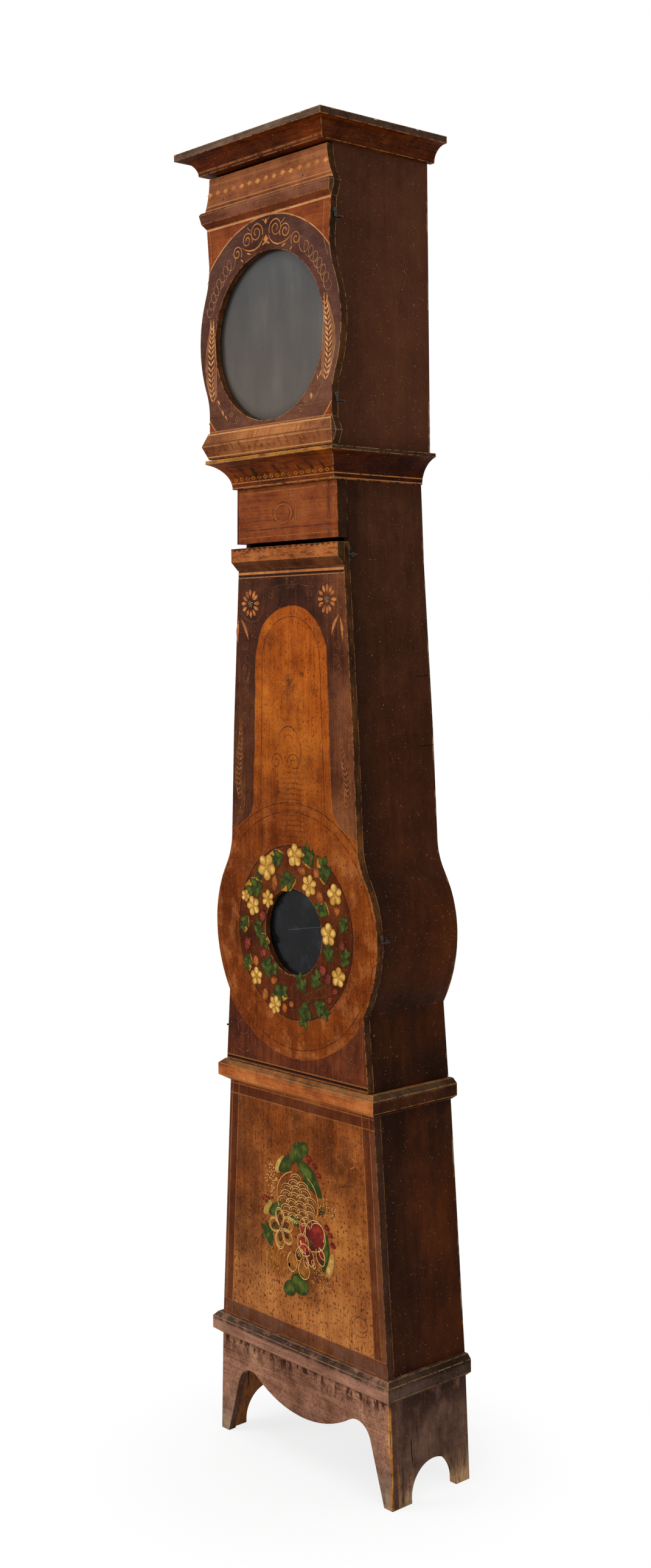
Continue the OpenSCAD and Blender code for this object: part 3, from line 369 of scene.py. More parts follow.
# Height changes the stain: reddish on the hood and darkest on the belly. By the rails it is
# darker still, with grime and painted shade
coat(wood, (wood.z, 1.68, 1.80), "#31190d", "#492919", "#59341f")
coat(wood, [(wood.z, 1.25, 1.50, 0.6), (wood.z, 1.70, 1.68)], "#241208", "#452718", "#5c3822")
coat(wood, (wood.z, 1.15, 0.95, 0.8), "#120703", "#2c1408", "#48230e")
coat(wood, (wood.z, 1.10, 1.00, 0.45), "#512207", "#6b340f",
     torn=(0.44, 0.66, 9.0, (1.0, 1.0, 0.35)))
# Dark bands along the rails: grime and painted shade
rail_grime_and_shade = line(wood, wood.z, 0.70, 0.02, 0.09, 0.7)
for height, width, soft, strength in ((0.64, 0.03, 0.12, 0.8), (0.20, 0.02, 0.06, 0.6),
                                      (0.815, 0.01, 0.05, 0.6)):
    rail_grime_and_shade = add(t, "MAXIMUM", rail_grime_and_shade, line(wood, wood.z, height, width, soft, strength))
coat(wood, rail_grime_and_shade, "#0d0603", "#1c0c05", torn=(0.36, 0.56, 14.0, (1.0, 1.0, 0.5)))
# The edge next to the doors is almost black, and the back edge is knocked pale
coat(wood, [(wood.y, 0.022, -0.036, 0.75), add(t, "MapRange", wood.z, 1.70, 1.76, 1.0, 0.35)],
     "#0f0704", "#211107", "#2d180c")
coat(wood, (wood.y, 0.1345, 0.1375, 0.9), "#8b7254", "#b2946e",
     torn=(0.52, 0.60, 50.0, (1.0, 1.0, 0.35)))
# Two short drying cracks run across the trunk side from its back edge
for height in (1.371, 1.252):
    crack = line(wood, add(t, "ADD", wood.wander, wood.z), height, 0.0007)
    coat(wood, [crack, (wood.y, 0.098, 0.108, 0.9)], "#070402")
splatter = add(t, "TexVoronoi", {"Vector": wood.place, "Scale": 150.0, "Randomness": 1.0})
coat(wood, [(splatter, 0.13, 0.10, 0.8), line(wood, wood.z, 0.97, 0.09, 0.06)], "#89785e",
     torn=(0.50, 0.56, 14.0))
varnished(wood, "base_side_left", "base_side_right", "trunk_side_left", "trunk_side_right",
          "hood_side_left", "hood_side_right", rough=0.5, gloss=0.025)

# Both rails: one length mitred round the front and sides, with a chamfer above and below
# the flat. Dust has turned the upper chamfers to grey-black grime, chipped at the arris.
for name, piece, seed, shades, side, grime, low, high in (
        ("grimy_lower_rail_pine", "lower_rail", 12.0, ("#603d2c", "#89604c", "#b0806a"),
         ("#281c16", "#45332a", "#57443a"), ("#120e0d", "#2c2422", "#4c3d33"), 0.198, 0.203),
        ("orange_brown_middle_rail_pine", "middle_rail", 7.0, ("#683214", "#a4592a", "#c57a42"),
         ("#1c0d06", "#33190c", "#4a2613"), ("#3a2315", "#6d4a2d", "#93693f"), 0.668, 0.672)):
    wood = old_pine(name, *shades, "X", seed=seed, edge=1.15, bare="#c08549")
    coat(wood, (wood.aside, 0.3, 0.5), *side)
    top = masked(wood, (add(wood.t, "ADD", wood.wander, wood.z), low, high, 0.9))
    coat(wood, top, *grime, torn=(0.28, 0.50, 45.0))
    coat(wood, [top, (wood.aside, 0.3, 0.5, 0.9)], "#1a110c", "#302219", "#4a382a")
    # The lower edge of the rail is painted darker, as painted shade
    coat(wood, (wood.z, low - 0.022, low - 0.030, 0.45), "#2a140a", "#46230f")
    varnished(wood, piece, rough=0.58, gloss=0.022)

# Inside and back: plain pine, never painted, grey with dust and darker towards the floor.
wood = old_pine("bare_dusty_pine", "#4e3724", "#7d5e40", "#a08058", seed=9.0, edge=0.3,
                bare="#b28e62")
coat(wood, (wood.z, 0.75, 0.2, 0.6), "#3a291c", "#5c4430", "#775a3f")
varnished(wood, "base_floor", "base_back_board", "trunk_back_board", "hood_back_board",
          "seat_board", "hood_top_board", "hood_door_bead", "trunk_door_bead", rough=0.75,
          gloss=0.04)

# The frieze block over the trunk door: a thick board glazed orange, with a ruled line at top
# and bottom and, at its middle, what brooms and cloths have left of a wreathed medallion.
wood = old_pine("orange_glazed_frieze_pine", "#4e1e07", "#7c3a15", "#97501f", "X", seed=5.0)
t = wood.t
centre = add(t, "VectorMath", add(t, "CombineXYZ", wood.x, 0.0, wood.z), (0.008, 0.0, -1.655),
             operation="ADD")
centre = add(t, "VectorMath", centre, (0.72, 1.0, 1.0), operation="MULTIPLY")
ring = add(t, "VectorMath", centre, operation="LENGTH", out="Value")
for radius, shade in ((0.0195, "#4c2209"), (0.0160, "#975624"), (0.0130, "#50240b")):
    coat(wood, line(wood, ring, radius, 0.0010), shade, torn=(0.40, 0.55), front=True)
beside = [(line(wood, add(t, "ADD", wood.x, 0.008), 0.0, 0.050, 0.020), 0.0, 1.0, 0.75),
          (ring, 0.021, 0.024), line(wood, wood.z, 1.653, 0.014, 0.010)]
strokes = add(t, "SINE", add(t, "MULTIPLY", wood.x, 1050.0))
for hand, shades in ((1, ("#904f1f", "#a86730")), (-1, ("#3e1706", "#4f210a"))):
    coat(wood, beside + [(strokes, hand * 0.2, hand * 0.7)], *shades, torn=(0.42, 0.56), front=True)
for height, shade in ((1.6955, "#9c5a28"), (1.630, "#471c06"), (1.617, "#905021")):
    coat(wood, line(wood, wood.z, height, 0.0010), shade, torn=(0.36, 0.50), front=True)
for x in (-0.1285, 0.1245):
    coat(wood, line(wood, wood.x, x, 0.0010), "#965729", torn=(0.42, 0.54), front=True)
smoke = add(t, "MAXIMUM", line(wood, wood.x, 0.1105, 0.004, 0.005, 0.8),
            line(wood, wood.x, -0.133, 0.005, 0.004, 0.8))
coat(wood, smoke, "#290d03", "#3f1807", torn=(0.34, 0.60, 40.0, (1.0, 1.0, 0.3)), front=True)
coat(wood, (wood.aside, 0.4, 0.6), "#120803", "#261308", "#3a220f")
varnished(wood, "trunk_frieze_block")

# The cove that carries the hood and the cornice over it: each is planed from one length and
# mitred. Red-brown glaze, dark down in the hollow, with a grimy and knocked upper band.
for name, piece, seed, shades, side, band, bottom, top in (
        ("red_brown_shelf_cove_pine", "hood_shelf_moulding", 6.0, ("#351403", "#672c08", "#8c450f"),
         ("#180702", "#341305", "#4d200a"), ("#3a1e14", "#573126", "#784938"), 1.749, 1.7505),
        ("red_brown_cornice_pine", "cornice", 8.0, ("#240b01", "#501e03", "#753107"),
         ("#210c03", "#431b06", "#5f2c0d"), ("#33261d", "#5b4435", "#7d6350"), 2.288, 2.2895)):
    wood = old_pine(name, *shades, "X", seed=seed, edge=1.0, bare="#b98450")
    t = wood.t
    end = masked(wood, (wood.aside, 0.25, 0.45))
    coat(wood, end, *side)
    # The planed hollow keeps fine dark ridges along its length
    ridge = add(t, "VectorMath", wood.place, (0.04, 0.04, 1.0), operation="MULTIPLY")
    ridge = add(t, "TexNoise", {"Vector": ridge, "Scale": 420.0, "Detail": 3.0})
    coat(wood, (ridge, 0.50, 0.62, 0.5), "#1c0803")
    rim = masked(wood, (wood.z, bottom, top))
    if piece == "cornice":
        for height in (2.2655, 2.2672):
            coat(wood, line(wood, wood.z, height, 0.0008), "#8a5124", torn=(0.36, 0.52), front=True)
    else:
        # A row of small light lozenges and slanting strokes of soot, both nearly worn away
        for height in (1.7145, 1.7065):
            coat(wood, line(wood, wood.z, height, 0.0010), "#a4693a", torn=(0.32, 0.48))
        step = add(t, "PINGPONG", add(t, "ADD", wood.x, 0.008), 0.00815)
        lozenge = add(t, "ABSOLUTE", add(t, "SUBTRACT", wood.z, 1.7205))
        lozenge = add(t, "MULTIPLY_ADD", lozenge, 1.6, step)
        across = add(t, "MULTIPLY_ADD", end, -1.0, 1.0)
        coat(wood, [line(wood, lozenge, 0.0048, 0.0010), across], "#b27026", torn=(0.36, 0.50))
        slant = add(t, "PINGPONG", add(t, "MULTIPLY_ADD", wood.z, 0.55, wood.x), 0.0148)
        slant = add(t, "ADD", slant, wood.wander)
        coat(wood, [line(wood, slant, 0.0, 0.005, 0.004),
                    line(wood, wood.z, 1.731, 0.012, 0.004, 0.75), across], "#1d0a02",
             torn=(0.38, 0.55))
    coat(wood, rim, *band)
    coat(wood, [rim, end], "#1e130c", "#38261b", "#4e3a2b")
    level = masked(wood, (wood.facing["Z"], 0.5, 0.8))
    coat(wood, level, "#3b3026", "#5a4a3a", "#796654")
    if piece == "cornice":
        coat(wood, [(wood.z, 2.2972, 2.2985), add(t, "MULTIPLY_ADD", level, -1.0, 1.0)],
             "#8b6b45", "#cdbb98", torn=(0.60, 0.66, 70.0))
    else:
        coat(wood, [rim, across], "#84501c", "#ba7a30", torn=(0.34, 0.5, 60.0, (0.3, 1.0, 1.0)),
             front=True)
    varnished(wood, piece, rough=0.5, gloss=0.025)

# The trunk door: two pine boards sawn to the clock's outline. Over a dark red-brown ground
# an arched field and the disc of the belly were glazed orange and framed with thin lines.
wood = old_pine("orange_fielded_trunk_door_pine", "#240f06", "#472313", "#5d331e", seed=10.0,
                edge=0.95, bare="#b98049")
t = wood.t
half = add(t, "POWER", add(t, "MapRange", wood.z, 1.155, 1.092, 0.0, 1.0), 2.4)
half = add(t, "MULTIPLY_ADD", half, 0.075, add(t, "MULTIPLY_ADD", wood.z, -0.036, 0.1454))
beside = add(t, "SUBTRACT", add(t, "ABSOLUTE", wood.x), half)
arch_height, arch_radius, belly_height, belly_radius = 1.400, 0.095, 0.932, 0.221
arch = add(t, "SUBTRACT", away(wood, 0.0, arch_height), arch_radius)
field = add(t, "Mix", {0: add(t, "GREATER_THAN", wood.z, arch_height), 2: beside, 3: arch})
field = add(t, "MAXIMUM", field, add(t, "SUBTRACT", 0.95, wood.z))
belly = away(wood, 0.0, belly_height)
orange = add(t, "MINIMUM", field, add(t, "SUBTRACT", belly, belly_radius))
orange = add(t, "ADD", orange, wood.wander)
# The border is darkest next to the field and in the corners
for mask, *shades in (
        ((orange, 0.030, 0.0, 0.7), "#1e0904", "#38180d", "#4b2515"),
        ((wood.z, 0.80, 0.72, 0.9), "#1e0501", "#3d1004", "#531b06"),
        ((wood.z, 1.20, 1.10, 0.45), "#40200f", "#6c3d22", "#8c5530"),
        ((wood.x, 0.06, 0.13, 0.7), "#421e0e", "#6c3b20", "#8a5230"),
        ((wood.x, -0.06, -0.12, 0.6), "#1d0c06", "#412112", "#58311c"),
        ((wood.z, 0.82, 0.76, 0.8), "#30110a", "#5a2712", "#7c3c1c"),
        ((orange, 0.0012, -0.0016), "#7c3405", "#ab5412", "#c77020")):
    coat(wood, mask, *shades, front=True)
# Lower down the orange has gone brown, most on the left and round the porthole
inside = masked(wood, (orange, 0.0, -0.0015))
coat(wood, [inside, (wood.z, 1.40, 1.10, 0.9)], "#431802", "#6e2f07", "#904714", front=True)
coat(wood, [inside, (wood.x, 0.06, -0.20, 0.8)], "#3b1402", "#602606", "#7d370f",
     torn=(0.34, 0.60, 14.0), front=True)
# The belly is rubbed and spattered: pale scuffs right of the porthole, dark spots all over
coat(wood, [inside, (wood.z, 1.16, 1.06, 0.85)], "#7b3f1a", "#a8622f",
     torn=(0.50, 0.64, 34.0, (1.0, 1.0, 0.7)), front=True)
coat(wood, inside, "#3a1705", "#542409", torn=(0.60, 0.63, 230.0, (1.0, 1.0, 0.8)), front=True)
# Dark figure in the wood: ripples under the middle of the field, and a dozen old knots
ripple = add(t, "MULTIPLY", add(t, "MULTIPLY_ADD", wood.wander, 1.5, wood.z), 690.0)
coat(wood, [(add(t, "SINE", ripple), 0.1, 0.9, 0.42), line(wood, wood.x, 0.002, 0.030, 0.028),
            line(wood, wood.z, 1.145, 0.090, 0.030)], "#3c1a0a", front=True)
for x, z, size, strength in (
        (-0.004, 1.360, 0.026, 0.9), (0.062, 1.352, 0.012, 0.7), (-0.088, 1.340, 0.013, 0.8),
        (0.031, 1.376, 0.007, 0.9), (0.052, 1.222, 0.050, 0.7), (-0.060, 1.432, 0.036, 0.7),
        (0.004, 1.318, 0.055, 0.55), (-0.045, 1.170, 0.045, 0.75), (0.078, 1.458, 0.030, 0.6),
        (-0.125, 1.045, 0.050, 0.7), (-0.165, 0.905, 0.045, 0.6), (0.120, 1.085, 0.045, 0.5)):
    coat(wood, (away(wood, x, z), size, size * 0.1, strength), "#35190a", "#562a10",
         torn=(0.36, 0.66, 60.0), front=True)
# Thin dark lines follow the arch inside its edge, and ring the belly twice
coat(wood, [line(wood, field, -0.0185, 0.0009), (wood.z, 1.12, 1.13, 0.85)], "#431d0b",
     torn=(0.30, 0.48), front=True)
for radius, shade in ((0.2055, "#4c220d"), (0.2215, "#40200f")):
    coat(wood, [line(wood, belly, radius, 0.0010), inside], shade, torn=(0.34, 0.52), front=True)
# The band under the wreath is brown-red, with a ruled edge
band = add(t, "ADD", away(wood, 0.003, 0.929), add(t, "MULTIPLY", wood.wander, 0.6))
coat(wood, (band, 0.1510, 0.1488, 0.9), "#2c0e03", "#4c1e09", "#69310f", front=True)
coat(wood, line(wood, band, 0.1506, 0.0014), "#2b1208", torn=(0.30, 0.46), front=True)
coat(wood, line(wood, band, 0.1548, 0.0010), "#6b3514", torn=(0.38, 0.52), front=True)
# A broad light stripe under the top bar, and ruled lines there and along the bottom
for height, width, *shades in ((1.5545, 0.0034, "#93522a", "#b9733c", "#cf8c50"),
                               (1.5500, 0.0030, "#2a1109"), (1.5470, 0.0011, "#96603a"),
                               (0.6905, 0.0012, "#8a5528"), (0.6875, 0.0030, "#1d0d07"),
                               (0.6835, 0.0012, "#7c4822")):
    coat(wood, line(wood, wood.z, height, width), *shades, torn=(0.24, 0.36), front=True)
# The wall of the porthole is scraped pale where the glass was cleaned, and the long edges
# of the door are blackened by hands
coat(wood, [(band, 0.0768, 0.0762), add(t, "MULTIPLY_ADD", wood.front, -1.0, 1.0)], "#5c3a26",
     "#8d6850", "#b59480")
coat(wood, [(wood.aside, 0.6, 0.8), (band, 0.100, 0.110)], "#1a0e08", "#38200f", "#6a3f1e")
varnished(wood, "trunk_door_board", rough=0.46, gloss=0.025)

# The bar across the top of that door, glued and nailed on: a square edge over a chamfer,
# grained dark, with a ragged black line where its upper edge meets the frieze.
wood = old_pine("brown_grained_door_bar_pine", "#582909", "#995427", "#b56d38", "X", seed=11.0,
                edge=1.0)
t = wood.t
# The chamfer below the square edge is painted darker, as painted shade
coat(wood, (wood.z, 1.5755, 1.5745, 0.85), "#250f05", "#44220f", "#5b3319")
teeth = add(t, "MULTIPLY_ADD", add(t, "PINGPONG", wood.x, 0.007), 0.55,
            add(t, "MULTIPLY_ADD", wood.wander, 1.2, wood.z))
coat(wood, (teeth, 1.5965, 1.5985, 0.85), "#230d05", torn=(0.30, 0.45), front=True)
coat(wood, line(wood, wood.z, 1.586, 0.014, 0.004, 0.55), "#281005",
     torn=(0.50, 0.60, 260.0, (0.25, 1.0, 1.0)), front=True)
coat(wood, (wood.aside, 0.4, 0.6), "#120b05", "#2b1d0f", "#412e19")
varnished(wood, "trunk_door_top_bar", rough=0.5, gloss=0.025)

# The hood door: one wide board with a round opening. Its frieze and corners are glazed
# red-brown across the grain, and a dark plum ring runs round the glass.
wood = old_pine("red_brown_hood_door_pine", "#4c1f0a", "#7a3816", "#964f1f", "X", seed=14.0,
                edge=1.0, bare="#c08c58")
t = wood.t
ring = away(wood, -0.001, 1.957)
round_ring = add(t, "ADD", ring, add(t, "MULTIPLY", wood.wander, 0.35))
below_bar = masked(wood, (wood.z, 2.192, 2.190))
in_ring = masked(wood, [(round_ring, 0.2075, 0.2062), below_bar])
for mask, *shades in ((in_ring, "#331812", "#4b2c22", "#603d30"),
                      ([in_ring, (ring, 0.185, 0.150, 0.55)], "#31160e", "#4d271b", "#653826"),
                      ([in_ring, (wood.z, 1.93, 1.83, 0.8)], "#40200f", "#623a28", "#7c5038")):
    coat(wood, mask, *shades, front=True)
coat(wood, [line(wood, round_ring, 0.2080, 0.0012), below_bar], "#a86b40", "#cd9158",
     torn=(0.32, 0.50), front=True)
# Broad light stripes above and below the upper bar, and thin ones across the frieze
for height, width, *shades in ((2.1665, 0.0036, "#a3683f", "#c78a56", "#dda66c"),
                               (2.1995, 0.0050, "#8f5a35", "#b57d4d", "#cb9660"),
                               (2.2080, 0.0010, "#bd8656"), (2.2440, 0.0010, "#a06c46"),
                               (1.8065, 0.0012, "#a3683f")):
    coat(wood, line(wood, wood.z, height, width), *shades, torn=(0.26, 0.40), front=True)
# The frieze is paler than the corners, and the long edges are blackened by hands
coat(wood, (wood.z, 2.200, 2.212, 0.7), "#6e3b1e", "#9b5e38", "#b8794b", front=True)
coat(wood, [(wood.aside, 0.55, 0.75), (ring, 0.152, 0.156)], "#170d08", "#2e1b0e", "#4a2b15")
coat(wood, [(ring, 0.156, 0.152), add(t, "MULTIPLY_ADD", wood.front, -1.0, 1.0)], "#29150d",
     "#4b2817", "#6f4226")
varnished(wood, "hood_door_board", rough=0.48, gloss=0.025)

# Its two bars are moulded strips, glued and nailed across the board: a flat cornice under
# the frieze, and a pointed one along the foot that was once marked out in lozenges.
wood = old_pine("plum_brown_upper_bar_pine", "#3c1e11", "#643722", "#804e37", "X", seed=15.0,
                edge=1.1, bare="#b47a4a")
# Its lower part is painted darker and redder, as painted shade
coat(wood, (wood.z, 2.1790, 2.1775, 0.9), "#2f1106", "#55230b", "#733515")
coat(wood, (wood.facing["Z"], 0.4, 0.7), "#33261b", "#57412e", "#7b5f45", torn=(0.25, 0.45))
coat(wood, (wood.aside, 0.4, 0.6), "#19110a", "#3a2719", "#573e27")
varnished(wood, "hood_door_upper_bar", rough=0.5, gloss=0.025)

wood = old_pine("orange_brown_lower_bar_pine", "#683518", "#985b31", "#b57747", "X", seed=16.0,
                edge=1.1, bare="#c39058")
t = wood.t
# The ends of the bar are darker than its middle
coat(wood, (add(t, "ABSOLUTE", wood.x), 0.05, 0.14, 0.9), "#4a2512", "#6d3f26", "#885436",
     torn=(0.30, 0.55, 20.0))
# The lozenges once marked on it have gone to smudges of soot
coat(wood, line(wood, wood.z, 1.770, 0.022, 0.006, 0.75), "#33180b", "#4f2a14",
     torn=(0.52, 0.62, 95.0, (1.0, 1.0, 0.45)), front=True)
# The lower half of the point is painted darker, as painted shade
coat(wood, (wood.z, 1.7805, 1.7790, 0.45), "#4c220f", "#794021", "#96562e")
for height, shade in ((1.8015, "#c18854"), (1.7850, "#68381d"), (1.7620, "#bd814d")):
    coat(wood, line(wood, wood.z, height, 0.0013), shade, torn=(0.28, 0.44))
step = add(t, "PINGPONG", add(t, "ADD", wood.x, 0.01), 0.0085)
step = add(t, "MULTIPLY_ADD", add(t, "ABSOLUTE", add(t, "SUBTRACT", wood.z, 1.7715)), 1.3, step)
coat(wood, (step, 0.0050, 0.0044, 0.55), "#4b2410", torn=(0.42, 0.56), front=True)
comb = add(t, "ADD", add(t, "PINGPONG", wood.x, 0.0058), wood.wander)
coat(wood, [(comb, 0.0022, 0.0014, 0.5), line(wood, wood.z, 1.7925, 0.008, 0.004)], "#5b2d13",
     torn=(0.40, 0.55), front=True)
coat(wood, (wood.aside, 0.4, 0.6), "#1a110b", "#362419", "#69472c")
varnished(wood, "hood_door_lower_bar", rough=0.5, gloss=0.025)


# The painted ornament is oil paint, put on by brush in touches a quarter of a millimetre
# high with the board left between them. A pot here is one colour used on one board.
def open_pot(front, coats=0):
    """A pot for the board whose painted face lies at that y, over so many coats already dry."""
    bm = bmesh.new()
    rim = bm.verts.layers.float.new("rim")
    lines = bpy.data.curves.new("brush_lines", "CURVE")
    lines.dimensions = "3D"
    lines.bevel_depth = 0.001
    lines.bevel_resolution = 0
    lines.use_fill_caps = True
    return SimpleNamespace(bm=bm, rim=rim, lines=lines, front=front - coats * 0.00022, touches=0)


def polar(x, z, far, degrees, squash=1.0):
    """The point in mm that lies so far from another, in that direction."""
    a = math.radians(degrees)
    return x + far * math.cos(a), z + far * squash * math.sin(a)


def dab(pot, x, z, long, wide, turn=0.0, tip=0.0, tail=0.0, bend=0.0, sides=12):
    """One touch of a loaded brush, in mm and degrees: an oval, drawn out to a point or bent."""
    touch = bmesh.ops.create_cone(pot.bm, cap_ends=True, cap_tris=True, segments=sides,
                                  radius1=1.0, radius2=1.0, depth=0.0005)["verts"]
    for v in touch:
        along, across = v.co.x, v.co.y
        v[pot.rim] = math.hypot(along, across)
        across *= 1.0 - (tip * along if along > 0 else -tail * along)
        v.co.x = along * long / 2000
        v.co.y = across * wide / 2000 + bend * along * along * long / 2000
    # Touches that overlap lie a hair apart
    lift = 0.00001 * (pot.touches % 9)
    pot.touches += 1
    bmesh.ops.transform(pot.bm, verts=touch, matrix=Matrix.Translation(
        (x / 1000, pot.front - lift, z / 1000)) @ Matrix.Rotation(math.pi / 2, 4, "X")
        @ Matrix.Rotation(math.radians(turn), 4, "Z"))


def stroke(pot, points, width=1.0, taper=False):
    """One line of a fine brush through points in mm, thinning to both ends where it tapers."""
    spline = pot.lines.splines.new("POLY")
    spline.points.add(len(points) - 1)
    for i, (point, (x, z)) in enumerate(zip(spline.points, points)):
        thin = math.sin(math.pi * (i + 0.6) / (len(points) + 0.2)) if taper else 1.0
        point.co = (x / 1000, z / 1000, 0.0, 1.0)
        point.radius = width / 2 * thin


def arc(x, z, radius, start, end, steps=16, squash=1.0):
    """Points in mm along an arc or oval between two angles in degrees."""
    return [polar(x, z, radius, start + (end - start) * i / steps, squash)
            for i in range(steps + 1)]


def curl(x, z, radius, start, turns, hand=1, steps=30):
    """Points in mm of a volute that winds inwards from its outer end."""
    return [polar(x, z, radius * (1 - 0.8 * i / steps), start + hand * turns * 360 * i / steps)
            for i in range(steps + 1)]


def mesh_of(name, data):
    """The mesh that a curve or text makes, and nothing left of the curve."""
    drawn = put_out(name, data)
    bpy.context.view_layer.update()
    flat = bpy.data.meshes.new_from_object(drawn.evaluated_get(
        bpy.context.evaluated_depsgraph_get()))
    bpy.data.objects.remove(drawn)
    bpy.data.curves.remove(data)
    return flat


def piece_of(bm, name, material, smooth=False):
    """Turns a finished shape into a piece of that material."""
    bmesh.ops.recalc_face_normals(bm, faces=bm.faces)
    for face in bm.faces:
        face.smooth = face.smooth or smooth
    piece = put_out(name, bpy.data.meshes.new(name))
    bm.to_mesh(piece.data)
    bm.free()
    piece.data.materials.append(material)
    return piece


def use_up(pot, name, material, body):
    """Turns the pot into one piece of dry paint that rides on its board's body."""
    if pot.lines.splines:
        flat = mesh_of("brush_lines", pot.lines)
        flat.transform(Matrix.Translation((0.0, pot.front, 0.0)) @ Matrix.Rotation(
            math.pi / 2, 4, "X") @ Matrix.Diagonal((1.0, 1.0, 0.5, 1.0)))
        pot.bm.from_mesh(flat)
        bpy.data.meshes.remove(flat)
    else:
        bpy.data.curves.remove(pot.lines)
    piece = piece_of(pot.bm, name, material)
    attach(piece, body)


def old_paint(name, dark, light, ground, gone=0.5):
    """Brushed oil paint: streaked, thinner at its rim, and rubbed off in places to the ground."""
    paint = blank(name)
    t, place = paint.t, paint.place
    streak = add(t, "TexNoise", {"Vector": place, "Scale": 320.0, "Detail": 4.0, "Roughness": 0.6})
    body = add(t, "TexNoise", {"Vector": place, "Scale": 75.0, "Detail": 3.0})
    tone = add(t, "ADD", add(t, "MULTIPLY", streak, 0.5), body)
    # The paint was dragged thin towards the edge of each touch
    rim = add(t, "Attribute", attribute_name="rim", out="Fac")
    tone = add(t, "SUBTRACT", masked(paint, (tone, 0.58, 0.92)),
               masked(paint, (rim, 0.45, 1.0, 0.55)))
    paint.colour = add(t, "ValToRGB", tone, stops=[(0.0, dark), (1.0, light)])
    # Flakes and rubbed spots 3 to 10 mm across show the ground colour
    flake = add(t, "TexNoise", {"Vector": place, "Scale": 160.0, "Detail": 5.0, "Roughness": 0.7})
    coat(paint, (flake, 0.62 - 0.2 * gone, 0.68 - 0.2 * gone, 0.85), ground)
    dress(paint, {"Roughness": 0.5, "IOR": 1.5, "Specular IOR Level": 0.05},
          relief=(0.25, 0.0005, streak))
    return paint.material


def wheat_ear(pot, stem, grains, long, awns=3):
    """An ear of wheat along a stem in mm: pairs of pointed grains, and long beards past them."""
    for i in range(grains):
        place = i / (grains - 1) * (len(stem) - 1)
        k = min(int(place), len(stem) - 2)
        (x0, z0), (x1, z1) = stem[k], stem[k + 1]
        x, z = x0 + (x1 - x0) * (place - k), z0 + (z1 - z0) * (place - k)
        along = math.degrees(math.atan2(z1 - z0, x1 - x0))
        size = long * (0.70 + 0.30 * math.sin(math.pi * (i + 1) / (grains + 1)))
        for hand in (-1, 1):
            turn = along + hand * 38.0
            dab(pot, *polar(x, z, 0.50 * size, turn), size, size * 0.30, turn, tip=0.7, tail=0.3,
                bend=0.05 * hand)
    for hand in (-1, 1):
        for j in range(awns):
            beard = []
            for i, (x, z) in enumerate(stem):
                rise = 0.15 + 0.85 * i / (len(stem) - 1)
                bulge = long * (0.66 + 0.20 * j) * (0.25 + 0.75 * math.sin(math.pi * rise))
                beard.append((x + hand * bulge, z + 5.0 + j * 2.0))
            beard.append(((beard[-1][0] + stem[-1][0]) / 2 + hand * (2 + j),
                          stem[-1][1] + 20 - j * 3))
            stroke(pot, beard, 1.1)


# Hood door: a crest of volutes over the glass, two chains of loops running down from it,
# and an ear of wheat on each side, all in gold ochre. Lozenges cross the frieze.
hood_front = -0.0965
ochre = old_paint("worn_gold_ochre_oil_paint", "#a3632c", "#d38c46", "#7c4b30", gone=0.08)
pot = open_pot(hood_front)
middle = -2.0
for i in range(15):
    size = 15.0 if i % 3 else 16.5
    dab(pot, -155.5 + 22.2 * i, 2228.3 + (0.6 if i % 2 else -0.4), size, size * 0.66, sides=4)
for z, long, wide in ((2155, 11, 9), (2124, 16, 14)):
    dab(pot, middle, z, long, wide, turn=90, sides=4)
for hand in (-1, 1):
    for x, z, long, wide, turn, tip, tail in (
            (5.5, 2117.5, 11, 3.2, 62, 0.7, 0.3), (7.5, 2158.5, 7, 1.6, -58, 0.6, 0.0),
            (47, 2106.5, 13, 3.4, -70, 0.6, 0.4), (66, 2097.5, 10, 2.8, -48, 0.6, 0.4)):
        dab(pot, middle + hand * x, z, long, wide, 90 + hand * turn, tip, tail)
    for x, z, radius, start, turns in ((26, 2139, 18.0, 200, 1.75), (51, 2130, 14.5, 205, 1.6),
                                       (79, 2112, 13.5, 215, 1.5)):
        angle = start if hand > 0 else 180 - start
        stroke(pot, curl(middle + hand * x, z, radius, angle, turns, -hand, 34), 1.9)
    stroke(pot, [(middle + hand * x, z) for x, z in (
        (7, 2131), (11, 2122), (19, 2115), (31, 2110.5), (45, 2111), (57, 2114.5), (66, 2120))],
        2.8, taper=True)
    stroke(pot, [(middle + hand * x, z) for x, z in ((41, 2145), (46, 2148), (50, 2152))], 1.2)
use_up(pot, "hood_crest_paint", ochre, "hood_door")

faint = old_paint("thin_brown_ochre_line_paint", "#90603f", "#bb8455", "#5e4035", gone=0.38)
pot = open_pot(hood_front)
for hand, start, end, loops in ((1, 58.0, 21.0, 7), (-1, 122.0, 159.0, 8)):
    chain = []
    for i in range(loops * 14 + 1):
        x, z = polar(-1, 1957, 170.5, start + (end - start) * i / (loops * 14))
        chain.append(polar(x, z, 8.6, start + hand * i / 14 * 360, 11.5 / 8.6))
    stroke(pot, chain, 1.2)
for hand in (-1, 1):
    stroke(pot, [(hand * x - 4, z) for x, z in (
        (155.5, 2164), (153, 2150), (151, 2135), (150.5, 2115), (152.5, 2098), (156.5, 2083),
        (162, 2070))], 1.1)
for x, z, radius in ((-84, 1822, 7.5), (-101, 1832, 6), (84, 1826, 7), (97, 1836, 6.5),
                     (111, 1843, 6)):
    stroke(pot, curl(x, z, radius, 250, 1.3, 1 if x > 0 else -1, 20), 0.9)
for points in ([(-146, 1862), (-139, 1853), (-131, 1843), (-121, 1832), (-112, 1822)],
               [(143, 1862), (134, 1853), (126, 1843), (119, 1836), (110, 1828)]):
    stroke(pot, points, 1.0, taper=True)
use_up(pot, "hood_loop_paint", faint, "hood_door")

